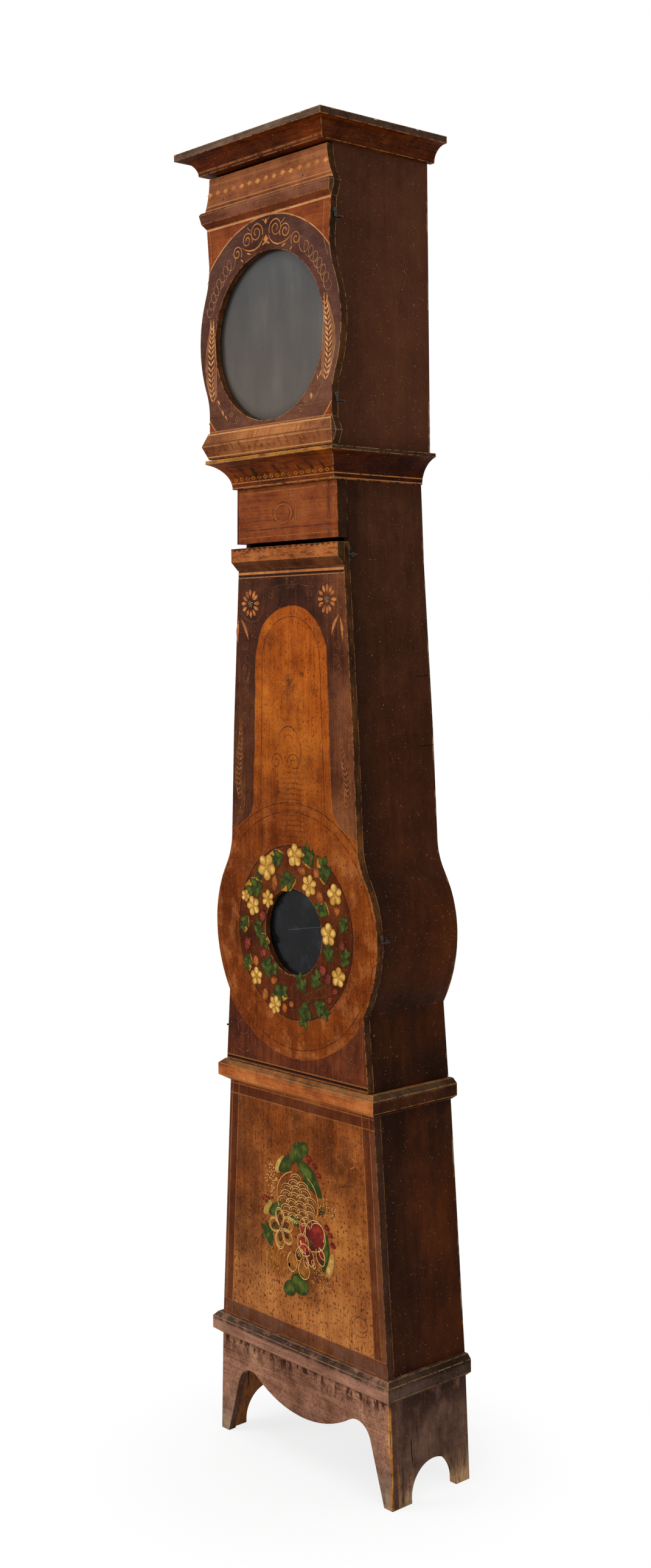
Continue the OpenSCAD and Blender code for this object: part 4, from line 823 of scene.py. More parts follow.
wheat = old_paint("worn_wheat_ochre_oil_paint", "#a36a3e", "#d39660", "#6c4430", gone=0.12)
pot = open_pot(hood_front)
wheat_ear(pot, [(148, 1866), (154, 1890), (157.5, 1915), (158, 1940), (155.5, 1965), (151, 1990)],
          15, 15)
wheat_ear(pot, [(-152, 1860), (-157, 1885), (-158.5, 1910), (-158, 1940), (-156, 1965),
                (-154, 1988)], 15, 14.5)
for x, z, long, turn in ((137, 1878, 13, 60), (129, 1872, 10, 105), (112.5, 1843, 12, 95),
                         (-137, 1858, 12, 125), (-126, 1839, 13, 118), (-116, 1829, 10, 122)):
    dab(pot, x, z, long, long * 0.36, turn, tip=0.7, tail=0.5, bend=0.12)
use_up(pot, "hood_wheat_paint", wheat, "hood_door")

# Trunk door, upper part: a daisy with two leaves in each corner, thin curls down the
# borders, and an ear of wheat low on each side where the border narrows.
trunk_front = -0.0525
daisy = old_paint("orange_ochre_daisy_oil_paint", "#8d4f27", "#c67c42", "#532b1c", gone=0.30)
pot = open_pot(trunk_front)
seeds = open_pot(trunk_front, 1)
rng = random.Random(5)
golden_angle = 137.5
for x, z in ((-108, 1501), (97, 1504)):
    for i in range(12):
        turn = i * 30 + rng.uniform(-4, 4)
        far = 16.5 + rng.uniform(-0.8, 0.8)
        dab(pot, *polar(x, z, far, turn, 1.12), 14.5 + rng.uniform(-1.5, 1.5), 7.0, turn,
            tail=0.55, tip=-0.1)
    for i in range(11):
        dab(seeds, *polar(x, z, 1.9 * math.sqrt(i), i * golden_angle), 1.5, 1.5, sides=6)
for x, z, turn, bend in ((-145, 1452, 86, -0.10), (-122, 1456, 118, 0.12), (115, 1461, 62, -0.14),
                         (134.5, 1453, 97, 0.10)):
    dab(pot, x, z, 42, 7.5, turn, tip=0.35, tail=0.75, bend=bend)
use_up(pot, "trunk_daisy_paint", daisy, "trunk_door")
pale = old_paint("pale_cream_seed_oil_paint", "#a98863", "#e2cba0", "#7a5230", gone=0.1)
use_up(seeds, "trunk_daisy_seed_paint", pale, "trunk_door")

pot = open_pot(trunk_front)
wheat_ear(pot, [(-143, 1152), (-147, 1175), (-146, 1200), (-143, 1225), (-140, 1250), (-138, 1276)],
          15, 11, awns=2)
wheat_ear(pot, [(141, 1152), (144, 1172), (143, 1192), (139, 1212), (134, 1232), (130, 1250)],
          12, 11, awns=2)
for hand in (-1, 1):
    for k in range(3):
        stroke(pot, [(hand * x, z) for x, z in (
            (131 + 3 * k, 1196 - 6 * k), (129 + 3.5 * k, 1170 - 4 * k), (131 + 5 * k, 1143 - 2 * k),
            (139 + 6 * k, 1121 - 2 * k), (152 + 5 * k, 1104 - 3 * k))], 1.5, taper=True)
dim = old_paint("faded_brown_wheat_oil_paint", "#6b3c20", "#a8693a", "#4d2818", gone=0.42)
use_up(pot, "trunk_wheat_paint", dim, "trunk_door")

pot = open_pot(trunk_front)
for hand in (-1, 1):
    x = hand * 121.0
    stroke(pot, arc(hand * 103, 1502, 33, 20, 200 if hand > 0 else -160, 22), 0.9)
    for k, (dx, z, radius, turns, start) in enumerate((
            (2, 1428, 12, 1.3, 80), (-4, 1404, 9, 1.2, 260), (3, 1386, 7, 1.2, 90),
            (-5, 1342, 9, 1.2, 250), (1, 1322, 7, 1.3, 80), (5, 1304, 6, 1.2, 260),
            (6, 1289, 5, 1.1, 80))):
        angle = start if hand > 0 else 180 - start
        stroke(pot, curl(x + hand * dx, z, radius, angle, turns, hand * (1 if k % 2 else -1), 20),
               0.9)
    for k in range(5):
        stroke(pot, [(x - hand * (7 - 2 * k) + dx, 1375 - 4 * k + dz) for dx, dz in (
            (-4, -14), (-1.5, -6), (1.5, 4), (4.5, 13))], 1.0, taper=True)
    stroke(pot, [(hand * dx, z) for dx, z in (
        (10, 1529), (24, 1533), (42, 1528), (58, 1527), (70, 1535))], 0.9, taper=True)
    stroke(pot, curl(hand * 52, 1516, 9, 90, 1.4, hand, 20), 0.9)
    stroke(pot, curl(hand * 5, 1530, 7, 90, 1.3, -hand, 18), 0.9)
    stroke(pot, arc(hand * 140, 745, 15, 20, 300 if hand > 0 else -260, 22, 0.8), 1.1)
    stroke(pot, curl(hand * 148, 722, 11, 90, 1.5, hand, 22), 1.1)
    stroke(pot, [(hand * dx, z) for dx, z in ((126, 706), (140, 700), (154, 704), (162, 712))], 0.9)
thread = old_paint("scratched_brown_line_paint", "#593324", "#8a5940", "#4a271b", gone=0.60)
use_up(pot, "trunk_curl_paint", thread, "trunk_door")

# On the orange field only dark ghosts of an older pattern are left
pot = open_pot(trunk_front)
slants = [([polar(-4, 1360, -long / 2, angle), polar(-4, 1360, long / 2, angle)], 1.5, True)
          for angle, long in ((48, 30), (132, 26), (20, 14), (88, 18))]
for points, width, taper in (
        (arc(-8, 1262, 25, -10, 190, 22, 0.95), 1.8, True),
        (arc(-8, 1258, 13, 0, 230, 20), 0.9, True),
        (curl(-41, 1224, 16, 0, 1.4, 1, 26), 1.5, False),
        (curl(6, 1223, 17, 180, 1.4, -1, 26), 1.5, False),
        ([(16, 1282), (20, 1262), (27, 1244), (22, 1224), (12, 1204), (8, 1180), (3, 1160)], 1.1,
         True),
        ([(-42, 1320), (-36, 1300), (-28, 1283)], 0.9, True), *slants,
        (arc(62, 1351, 8.5, 0, 340, 14, 0.9), 0.9, False),
        (curl(-30, 742, 18, 20, 1.5, 1, 26), 0.9, False),
        (curl(28, 742, 18, 160, 1.5, -1, 26), 0.9, False),
        ([(-92, 752), (-70, 741), (-52, 744)], 0.9, True),
        ([(92, 756), (72, 743), (54, 744)], 0.9, True)):
    stroke(pot, points, width, taper)
ghost = old_paint("dark_ghost_lines_in_glaze", "#43200c", "#653015", "#87431c", gone=0.34)
use_up(pot, "trunk_ghost_paint", ghost, "trunk_door")

# The wreath round the porthole: cream five-petalled flowers, ragged green leaves tipped
# with yellow, and red and orange berries picked out in cream seeds.
cream, buff, green, vein, yellow, berry_red, berry_orange, dots, stalk, heart = (
    open_pot(trunk_front, coats) for coats in (3, 2, 1, 2, 0, 2, 2, 3, 0, 4))
rng = random.Random(11)


def flower(x, z, radius, turn, petals):
    """A five-petalled flower: round petals over a darker first coat, which shows between them."""
    for i in range(petals):
        a = turn + i * 360 / petals
        size = radius * rng.uniform(0.92, 1.06)
        across = size * (0.88 if petals < 6 else 0.74)
        dab(buff, *polar(x, z, 0.56 * radius, a), size * 0.98, across * 1.05, a, tail=0.35)
        dab(cream, *polar(x, z, 0.58 * radius, a), size * 0.90, across * 0.78, a, tail=0.55,
            tip=-0.12, sides=14)
        dab(heart, *polar(x, z, 0.22 * radius, a + math.degrees(0.6)), radius * 0.34,
            radius * 0.09, a + 34, tip=0.5)
    dab(cream, x, z, radius * 0.26, radius * 0.26)


def ragged_leaf(x, z, long, turn, tip_side=0):
    """A three-lobed leaf with a toothed rim; a yellow touch under it shows at one side."""
    long *= 1.14
    for part, wide, off, swing in ((0.80, 0.46, 0.06, 0), (0.52, 0.32, -0.10, 48),
                                   (0.52, 0.32, -0.10, -48), (0.40, 0.26, 0.22, 26),
                                   (0.40, 0.26, 0.22, -26)):
        lobe = polar(*polar(x, z, off * long, turn), 0.24 * long if swing else 0, turn + swing)
        dab(green, *lobe, part * long, wide * long, turn + swing, tip=0.55, tail=0.15)
    stroke(vein, [polar(x, z, -0.34 * long, turn), (x, z), polar(x, z, 0.38 * long, turn)], 0.9,
           taper=True)
    for swing in (35, -35):
        stroke(vein, [polar(x, z, -0.05 * long, turn), polar(x, z, 0.24 * long, turn + swing)],
               0.7, taper=True)
    if tip_side:
        at = polar(*polar(x, z, 0.20 * long, turn + 90 * tip_side), 0.10 * long, turn)
        dab(yellow, *at, 0.96 * long, 0.38 * long, turn + 12 * tip_side, tip=0.45, tail=0.3,
            bend=-0.12 * tip_side)


def berry(pot, x, z, long, wide, turn):
    """An egg-shaped berry with rows of seeds and three small sepals."""
    dab(pot, x, z, long * 1.08, wide * 1.08, turn, tip=0.28)
    for row in range(-3, 4):
        for k in range(-3, 4):
            u, v = row * 3.3, (k + 0.5 * (row % 2)) * 3.3
            if (u / (long * 0.42)) ** 2 + (v / (wide * 0.40)) ** 2 < 1:
                dab(dots, *polar(*polar(x, z, u, turn), v, turn + 90), 1.2, 0.9, turn, sides=5)
    for swing in (-38, 0, 38):
        dab(green, *polar(x, z, 0.44 * long, turn + 180 + swing), long * 0.34, long * 0.13,
            turn + 180 + swing, tip=0.7)


for at in ((7, 1063, 20, 92, 5), (-70, 1037, 23, 60, 5), (44, 1014, 19, 78, 6),
           (110, 1004, 18, 100, 5), (-67, 981, 16, 30, 6), (-108, 965, 17, 110, 5),
           (-129, 981, 11, 70, 5), (93, 935, 19, 90, 5), (117, 866, 17, 84, 5),
           (-100, 841, 16, 95, 5), (-50, 797, 16, 75, 6)):
    flower(*at)
for at in ((-37, 1056, 38, 200, -1), (44, 1059, 40, 118, 1), (84, 1037, 44, 100, 1),
           (-8, 1019, 42, 196, 1), (-98, 999, 46, 205, -1), (-91, 1018, 20, 110),
           (81, 974, 36, 150, -1), (129, 951, 30, 70), (-131, 936, 30, 240, 1),
           (-95, 922, 30, 80), (-84, 909, 30, -35, 1), (92, 901, 36, 95), (132, 896, 32, 60),
           (-124, 868, 30, 255, 1), (-72, 862, 44, 355), (-42, 820, 38, 10, -1),
           (24, 839, 36, 120), (57, 851, 36, 60), (29, 797, 44, 260), (68, 809, 40, 330)):
    ragged_leaf(*at)
for at in ((-125, 896, 24, 18, 265), (-82, 949, 21, 18, 250), (-82, 884, 19, 16, 200),
           (77, 872, 20, 17, 280), (91, 859, 20, 14, 260), (127, 920, 18, 14, 275),
           (94, 824, 15, 13, 230), (109, 841, 15, 12, 200)):
    berry(berry_red, *at)
for at in ((25, 1038, 22, 15, 170), (64, 1038, 19, 16, 100), (-48, 1011, 29, 16, 82),
           (71, 996, 22, 19, 330), (115, 976, 18, 15, 260), (-102, 868, 18, 16, 100),
           (-52, 840, 19, 13, 20), (-77, 811, 22, 18, 250), (-24, 795, 16, 14, 290),
           (-6, 804, 13, 11, 200)):
    berry(berry_orange, *at)
for x0, z0, x1, z1, lift in ((10, 808, 60, 838, 3), (36, 814, 92, 850, 4), (44, 820, 110, 842, -3),
                             (-30, 806, -78, 812, 3), (-86, 850, -70, 886, 4),
                             (-112, 880, -95, 922, -4), (100, 880, 96, 920, -4),
                             (124, 900, 118, 940, 5), (60, 1010, 66, 1030, 3),
                             (-20, 1036, 12, 1036, -4), (-60, 1000, -44, 1030, 5),
                             (-110, 930, -84, 946, 4)):
    mid = ((x0 + x1) / 2 - lift, (z0 + z1) / 2 + lift)
    stroke(stalk, [(x0, z0), mid, (x1, z1)], 1.1, taper=True)
for pot, name, *paint in (
        (cream, "flower", "cream_yellow_oil_paint", "#a6772f", "#e5bd66", "#8a5a26", 0.06),
        (heart, "flower_heart", "golden_heart_oil_paint", "#9a6014", "#d38f2c", "#8a5a26", 0.1),
        (buff, "flower_shadow", "buff_ochre_oil_paint", "#8a5a22", "#b5802f", "#6a3c1a", 0.1),
        (green, "leaf", "moss_green_oil_paint", "#222c0c", "#505a18", "#4b3a18", 0.12),
        (vein, "vein", "dark_green_oil_paint", "#1d2610", "#333d18", "#3a3a18", 0.3),
        (yellow, "leaf_tip", "chrome_yellow_oil_paint", "#96601a", "#cd8f2c", "#6e4a1c", 0.1),
        (berry_red, "red_berry", "madder_red_oil_paint", "#4c0e05", "#8c260e", "#4e1d10", 0.1),
        (berry_orange, "orange_berry", "burnt_orange_oil_paint", "#672a08", "#b05e15", "#5e2a10",
         0.1)):
    use_up(pot, "wreath_" + name + "_paint", old_paint(*paint), "trunk_door")
use_up(dots, "wreath_seed_paint", pale, "trunk_door")
olive = old_paint("olive_brown_stalk_paint", "#33300f", "#565226", "#5b2f15", gone=0.3)
use_up(stalk, "wreath_stalk_paint", olive, "trunk_door")

# Base panel: a bouquet of roses and leaves. Its flowers are outlined with a fine brush in
# gold over thin red and brown glazes; sprays of dots and seeds stand round it.
base_front = -0.0425
green, vein, cream, crimson, wine, amber, umber, glaze, gold = (
    open_pot(base_front, coats) for coats in (1, 2, 0, 2, 1, 1, 2, 0, 3))


def petal(pot, x, z, long, wide, turn, start=-150, end=150, bend=0.0, rims=1):
    """A round petal of thin glaze, with a gold line round all but its foot."""
    dab(pot, x, z, long, wide, turn, tail=0.30, bend=bend, sides=16)
    for rim in range(rims):
        size = 0.52 - 0.09 * rim
        outline = []
        for u, v in arc(0, 0, 1.0, start + 12 * rim, end - 12 * rim, 22):
            across = v * wide * size * (1.0 + 0.30 * min(u, 0.0)) + bend * u * u * long / 2
            outline.append(polar(*polar(x, z, u * long * size, turn), across, turn + 90))
        stroke(gold, outline, 1.7 if rim == 0 else 1.2)


def smooth_leaf(x, z, long, wide, turn, bend=0.0, tip=0.5):
    """A plain pointed leaf of two overlapping touches with a darker rib."""
    dab(green, x, z, long, wide, turn, tip=tip, tail=0.25, bend=bend, sides=18)
    dab(green, *polar(x, z, -0.06 * long, turn), 0.8 * long, 0.9 * wide, turn, tip=0.3, tail=0.2,
        bend=bend, sides=14)
    stroke(vein, [polar(x, z, s * long, turn) for s in (-0.4, -0.1, 0.2, 0.42)], 0.8, taper=True)


for leaf in ((-6, 545, 40, 32, 70, 0.0, 0.1), (9, 553, 30, 26, 40, 0.0, 0.1),
             (-34, 521, 58, 25, 42, 0.05), (26, 507, 84, 33, -41, -0.04, 0.35)):
    smooth_leaf(*leaf)
dab(cream, -52, 514, 40, 22, 52, tip=0.2, tail=0.1, bend=0.12)
for x, z, size in ((25, 540, 17), (40, 530, 14), (50, 516, 14), (22, 533, 10), (-102, 445, 9),
                   (-94, 450, 9), (-86, 449, 9), (-76, 452, 8), (-91, 442, 8), (70, 431, 15),
                   (79, 420, 13), (85, 404, 15)):
    dab(wine, x, z, size, size * 0.66, -20, tip=0.3)
    dab(crimson, x - 1, z + 0.5, size * 0.62, size * 0.42, -20, tip=0.2)
# The golden rose is all outline: rows of wide scales, lapped like tiles
for row, (z, reach, size, count) in enumerate((
        (505, 6, 14, 1), (494, 22, 15, 2), (483, 34, 16, 3), (471, 42, 16, 4), (459, 44, 16, 4),
        (447, 42, 15, 4), (436, 36, 14, 4), (426, 26, 12, 3))):
    for i in range(count):
        x = -7 - reach + 2 * reach * (i + 0.5) / count + (3.0 if row % 2 else -3.0)
        tilt = -16 * (x + 7) / 50
        dab(glaze, x, z - 5, size * 0.8, size * 1.3, 90 + tilt, tail=0.3)
        for part, width in ((1.0, 1.4), (0.62, 1.0)):
            stroke(gold, arc(x, z - 8, size * part, 8 + tilt, 172 + tilt, 16, 0.66), width)
stroke(gold, arc(-8, 462, 54, 104, 206, 26, 0.88), 1.5)
stroke(gold, arc(-6, 463, 54, -24, 60, 24, 0.90), 1.5)
# Gold flower: five frilled petals and a seeded eye
eye = (-51, 403)
for turn, long, wide in ((100, 32, 23), (30, 34, 26), (-35, 30, 24), (-100, 34, 25), (172, 28, 24)):
    petal(amber, *polar(*eye, 18.5, turn, 19 / 18.5), long, wide, turn, bend=0.06, rims=2)
    dab(umber, *polar(*eye, 12, turn), 26, 15, turn, tip=0.5)
for turn in (65, -5, -70, 215, 135):
    stroke(gold, [polar(*eye, 6, turn), polar(*eye, 15, turn)], 1.2, taper=True)
# Red rose: one wide petal above, a cupped heart, and small petals folded under
smooth_leaf(-10, 424, 30, 17, 165, tip=0.2)
for pot, *place in (
        (crimson, 6, 419, 26, 14, 88), (wine, 38, 408, 56, 52, 52),
        (crimson, 44, 414, 38, 36, 40, -70, 110), (wine, 52, 378, 32, 20, -62),
        (crimson, 56, 383, 20, 11, -50), (wine, 24, 372, 34, 20, -62, -150, 150, -0.06),
        (crimson, 8, 389, 34, 30, 128, -150, 150, 0.0, 2), (wine, 12, 379, 26, 20, 165, -170, 170),
        (wine, -3, 370, 26, 17, 250), (wine, 15, 361, 22, 12, 285), (wine, 34, 361, 16, 7, 300),
        (amber, -22, 352, 34, 26, 262), (amber, 9, 345, 32, 29, 275)):
    petal(pot, *place)
dab(umber, -2, 371, 17, 15)
dab(umber, 27, 396, 22, 14, 35, tip=0.4)
dab(gold, 1, 391, 7, 4, 120)
rng = random.Random(21)
for x, z, reach, count in ((-51, 402, 6.5, 13), (-3, 371, 6.5, 12)):
    for i in range(count):
        far = reach * math.sqrt((i + 0.3) / count)
        dab(gold, *polar(x, z, far, math.degrees(i * 2.4)), 2.6, 2.2, sides=6)
# Sprays of dots, the left one thick and cream, the others fine on thread stems
for x, z, wide, high, count, size in ((-78, 489, 19, 23, 44, 2.8), (-74, 466, 7, 12, 12, 2.5),
                                      (72, 462, 26, 19, 60, 1.9), (54, 336, 28, 16, 44, 1.9),
                                      (48, 352, 12, 9, 12, 1.8)):
    for i in range(count):
        a, far = math.degrees(rng.uniform(0, 6.28)), math.sqrt(rng.random())
        dab(gold, *polar(x, z, wide * far, a, high / wide), size, size * 0.85, rng.uniform(0, 90),
            sides=6)
for i in range(9):
    spread = 12 + 13 * i
    stroke(vein, [(47, 446), polar(56, 452, 6, spread), polar(60, 455, 24, spread, 20 / 24)], 0.8,
           taper=True)
    stroke(vein, [(34, 358), (44 + 3 * i, 350 - 1.5 * i), (36 + 5.4 * i, 330 + 2.2 * i)], 0.7,
           taper=True)
for leaf in ((-84, 381, 34, 22, 290, 0.0, 0.4), (-98, 392, 24, 11, 148, 0.0, 0.4),
             (-90, 397, 22, 10, 118, 0.0, 0.4), (-77, 396, 22, 10, 72, 0.0, 0.4),
             (-98, 380, 20, 10, 200, 0.0, 0.4), (-66, 434, 44, 22, 35, 0.08, 0.3),
             (66, 386, 68, 20, 82, 0.05), (-28, 304, 40, 28, 205, 0.0, 0.1),
             (-3, 317, 48, 38, 345, 0.0, 0.1)):
    smooth_leaf(*leaf)
dab(cream, -87, 431, 34, 17, 55, tip=0.1, bend=0.15)
dab(cream, 76, 369, 46, 21, 74, tip=0.3, tail=0.1, bend=-0.12)
for i in range(46):
    far = math.sqrt((i + 0.5) / 46)
    x, z = polar(-58, 346, 32 * far, math.degrees(i * 2.4), 27 / 32)
    dab(amber, x, z - 0.2 * far, 8.0, 5.0, 250 + rng.uniform(-25, 25), tip=0.2)
for pot, name, *paint in (
        (green, "leaf", "dark_moss_green_oil_paint", "#27330c", "#56601f", "#54391a", 0.14),
        (vein, "vein", "brown_green_line_paint", "#2b2a12", "#4a431d", "#5a3518", 0.35),
        (cream, "bud", "cream_ochre_bud_oil_paint", "#9a7434", "#cfa358", "#7c4f22", 0.2),
        (crimson, "red", "crimson_oil_paint", "#66160e", "#9b3022", "#6e2c17", 0.14),
        (wine, "wine", "thin_wine_red_glaze", "#4a100a", "#772317", "#5e2a14", 0.22),
        (amber, "amber", "thin_amber_brown_glaze", "#75420f", "#b06f26", "#7c4a20", 0.14),
        (glaze, "glaze", "thin_brown_shading_glaze", "#5a2f12", "#744218", "#965f2a", 0.3),
        (umber, "umber", "thin_burnt_umber_glaze", "#3c1d0c", "#64361a", "#7c4a20", 0.2),
        (gold, "gold_line", "gold_ochre_line_paint", "#bf8c42", "#e6bd76", "#8a5526", 0.12)):
    use_up(pot, "bouquet_" + name + "_paint", old_paint(*paint), "case")

# Knots show through the glaze as thin dark rings, and a few touches of gold are all that is
# left of ornament in the upper corners.
pot = open_pot(base_front)
stroke(pot, arc(153, 288, 17, 0, 350, 24, 0.72), 1.0)
stroke(pot, arc(149, 284, 22, 20, 330, 26, 0.78), 0.8)
stroke(pot, arc(-138, 582, 16, 30, 340, 22, 0.95), 0.8)
stroke(pot, [(84, 498), (100, 506), (118, 512), (140, 516)], 1.6, taper=True)
stroke(pot, [(-126, 596), (-108, 600), (-92, 606)], 0.9, taper=True)
for x, z, run in ((-160, 300, 24), (104, 556, 18), (108, 262, 26), (-112, 278, 20)):
    stroke(pot, [(x, z), (x + run * 0.5, z - 3), (x + run, z - 12)], 0.9, taper=True)
stain = old_paint("dark_knot_ring_stain", "#3b1d0d", "#5c3218", "#7b4622", gone=0.45)
use_up(pot, "base_knot_lines", stain, "case")
pot = open_pot(base_front)
for points in ([(138, 560), (143, 568), (142, 582), (145, 566), (141, 552)],
               [(136, 562), (147, 558)], [(149, 590), (150, 580)], [(132, 545), (141, 549)]):
    stroke(pot, points, 1.6, taper=True)
use_up(pot, "base_gold_touches", ochre, "case")

# Hood glass: an old blown pane held in its round rebate by a bead. A film of soot and dust
# inside, wiped now and then, keeps all but a ghost of the dial from showing. Its dark grey is
# partly that film and partly painted shade of the dim inside of the hood
film = blank("dusty_blown_hood_glass_with_painted_shade")
t, place = film.t, film.place
film.x, film.y, film.z = add(t, "SeparateXYZ", place).node.outputs
# Upright smears where a rag was drawn down, some 30 mm wide, and clouds of dust
smear = add(t, "VectorMath", place, (1.0, 1.0, 0.18), operation="MULTIPLY")
smear = add(t, "TexNoise", {"Vector": smear, "Scale": 30.0, "Detail": 3.0})
cloud = add(t, "TexNoise", {"Vector": place, "Scale": 11.0, "Detail": 4.0})
dust = add(t, "MULTIPLY_ADD", smear, 0.6, add(t, "MULTIPLY", cloud, 0.5))
film.colour, low_tone = (
    add(t, "ValToRGB", masked(film, (dust, *span)), stops=list(zip((0.0, 0.6, 1.0), shades)))
    for span, shades in (((0.40, 0.72), ("#2a2b2c", "#343535", "#403f3d")),
                         ((0.38, 0.74), ("#443a31", "#4f443a", "#5b4e42"))))
# Lighter and browner towards the foot of the pane, so that the top is darker: painted shade
coat(film, (film.z, 2.10, 1.83), low_tone)
grit = add(t, "TexNoise", {"Vector": place, "Scale": 900.0, "Detail": 2.0})
coat(film, (grit, 0.66, 0.74, 0.3), "#a59a8a")
# Its rim is dark brown: dirt crept out from under the bead, and painted shadow of the rebate
glass_height = 1.959
coat(film, (away(film, 0.0, glass_height), 0.128, 0.146, 0.75), "#241a14")
ripple = add(t, "TexNoise", {"Vector": place, "Scale": 14.0, "Detail": 1.0})
dress(film, {"Roughness": 0.32, "IOR": 1.5, "Specular IOR Level": 0.10, "Alpha": 0.95},
      "hood_door_glass", relief=(0.15, 0.002, ripple))

# Porthole glass: a thick bull's-eye pane, painted near black as painted shade of the dark trunk
# behind it. Fine scratches and finger marks catch the light.
pane = blank("scratched_dark_porthole_glass")
t, place = pane.t, pane.place
pane.x, pane.y, pane.z = add(t, "SeparateXYZ", place).node.outputs
slanted = add(t, "VectorRotate", {"Vector": place, "Axis": (0.0, 1.0, 0.0), "Angle": 0.6})
slanted = add(t, "VectorMath", slanted, (1.0, 1.0, 0.06), operation="MULTIPLY")
scratch = add(t, "TexNoise", {"Vector": slanted, "Scale": 700.0, "Detail": 2.0})
cloud = add(t, "TexNoise", {"Vector": place, "Scale": 26.0, "Detail": 4.0})
pane.colour = add(t, "ValToRGB", masked(pane, (cloud, 0.35, 0.70)),
                  stops=[(0.0, "#08080a"), (0.6, "#111215"), (1.0, "#202226")])
coat(pane, (scratch, 0.68, 0.74, 0.35), "#7d8086")
# Two long scratches cross it, and three finger ends were drawn through the dust below
for run, height, left, right in ((0.16, 0.934, -0.026, 0.066), (-4.5, 0.972, -0.016, -0.006)):
    off = add(t, "SUBTRACT", add(t, "MULTIPLY", pane.x, run), add(t, "SUBTRACT", pane.z, height))
    off = add(t, "ABSOLUTE", add(t, "DIVIDE", off, math.hypot(1.0, run)))
    coat(pane, [(off, 0.0008, 0.0002, 0.28), add(t, "GREATER_THAN", pane.x, left),
                add(t, "LESS_THAN", pane.x, right)], "#6b6e74")
for x, height in ((-0.016, 0.878), (0.001, 0.882), (0.019, 0.873)):
    mark = add(t, "MULTIPLY", add(t, "SUBTRACT", pane.x, x), 2.2)
    mark = add(t, "CombineXYZ", mark, 0.0, add(t, "SUBTRACT", pane.z, height))
    mark = add(t, "VectorMath", mark, operation="LENGTH", out="Value")
    coat(pane, (mark, 0.009, 0.006, 0.9), "#040404")
porthole_height = 0.929
# Darker still at its rim, as painted shade
coat(pane, (away(pane, 0.0, porthole_height), 0.066, 0.073, 0.8), "#12100f")
dress(pane, {"Roughness": add(t, "MapRange", cloud, 0.35, 0.70, 0.16, 0.34), "IOR": 1.5,
             "Specular IOR Level": 0.14, "Alpha": 0.90}, "trunk_door_glass")

# All the ironwork was forged by hand: hinges, hooks, catches, the movement's cage and bars.
# It has gone brown-black, smooth where it is handled, with rust in the corners.
iron = blank("hand_forged_brown_black_iron")
t, place = iron.t, iron.place
hammered = add(t, "TexNoise", {"Vector": place, "Scale": 90.0, "Detail": 2.0})
scale = add(t, "TexNoise", {"Vector": place, "Scale": 420.0, "Detail": 5.0, "Roughness": 0.65})
rust = add(t, "TexNoise", {"Vector": place, "Scale": 60.0, "Detail": 6.0, "Roughness": 0.7})
iron.colour = add(t, "ValToRGB", scale, stops=[(0.35, "#1b1715"), (0.60, "#332b27"),
                                               (0.80, "#4b423c")])
coat(iron, (rust, 0.50, 0.66, 0.8), "#57301b")
rubbed = add(t, "VectorMath", add(t, "Bevel", 0.0008, samples=4),
             add(t, "NewGeometry", out="Normal"), operation="DOT_PRODUCT", out="Value")
coat(iron, (rubbed, 0.99, 0.90, 0.6), "#7d736a")
dress(iron, {"Metallic": 0.7, "Roughness": add(t, "MapRange", rust, 0.4, 0.65, 0.48, 0.80)},
      "case_ironwork", "hood_door_ironwork", "hood_hook", "trunk_door_ironwork", "trunk_hook",
      "movement_cage", "arbor_bars", "bell_post", "anchor", "pendulum_rod", "pendulum_cock",
      "strike_fly", "bell_hammer", relief=(0.4, 0.0008, add(t, "ADD", hammered, scale)))


# Rose-headed nails, cut and struck by hand, hold the mouldings, the boards and the hinges.
# Each has a low head of five facets, 5.5 mm wide, sunk almost flush.
def nail(bm, x, y, z, side=0):
    """One nail head in mm, on a front face, or on the left or right face of a side board."""
    face = Matrix.Rotation(side * math.pi / 2, 4, "Y") if side else Matrix.Rotation(
        math.pi / 2, 4, "X")
    width = 0.0055
    head = bmesh.ops.create_cone(bm, cap_ends=True, segments=5, radius1=width / 2,
                                 radius2=width / 7, depth=width / 5)["verts"]
    bmesh.ops.transform(bm, verts=head, matrix=Matrix.Translation((x / 1000, y / 1000, z / 1000))
                        @ face @ Matrix.Rotation(x * 0.7 + z, 4, "Z"))


for body, places in (
        ("hood_door", ((-130, -96.9, 1780), (14, -96.9, 1778), (72, -96.9, 1776),
                       (-118, -96.9, 2214), (96, -96.9, 2214))),
        ("trunk_door", ((-55, -52.9, 720), (29, -52.9, 716), (-60, -67.9, 1580),
                        (66, -67.9, 1581), (-128, -52.9, 1548), (131, -52.9, 1547))),
        ("case", ((-168, -42.9, 606), (166, -42.9, 604), (-176, -42.9, 420), (178, -42.9, 418),
                  (-186, -42.9, 246), (190, -42.9, 244), (-112, -59.9, 1690), (118, -59.9, 1689),
                  (-110, -59.9, 1622), (112, -59.9, 1621),
                  *((side * 155.9, 104, z, side) for z in (1800, 1905, 2010, 2115, 2220)
                    for side in (1, -1))))):
    bm = bmesh.new()
    for place in places:
        nail(bm, *place)
    piece = piece_of(bm, body + "_nail_heads", iron.material)
    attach(piece, body)

# Cast-iron weights, one to each train: rough from the sand mould, dark grey-brown, with a
# rounded shoulder and a forged eye cast in.
def clouded(name, size, detail, rough, *stops):
    """Starts a material whose colour shifts in clouds, so many of them to the metre."""
    skin = blank(name)
    skin.cloud = add(skin.t, "TexNoise", {"Vector": skin.place, "Scale": size, "Detail": detail,
                                          "Roughness": rough})
    skin.colour = add(skin.t, "ValToRGB", skin.cloud, stops=stops)
    return skin


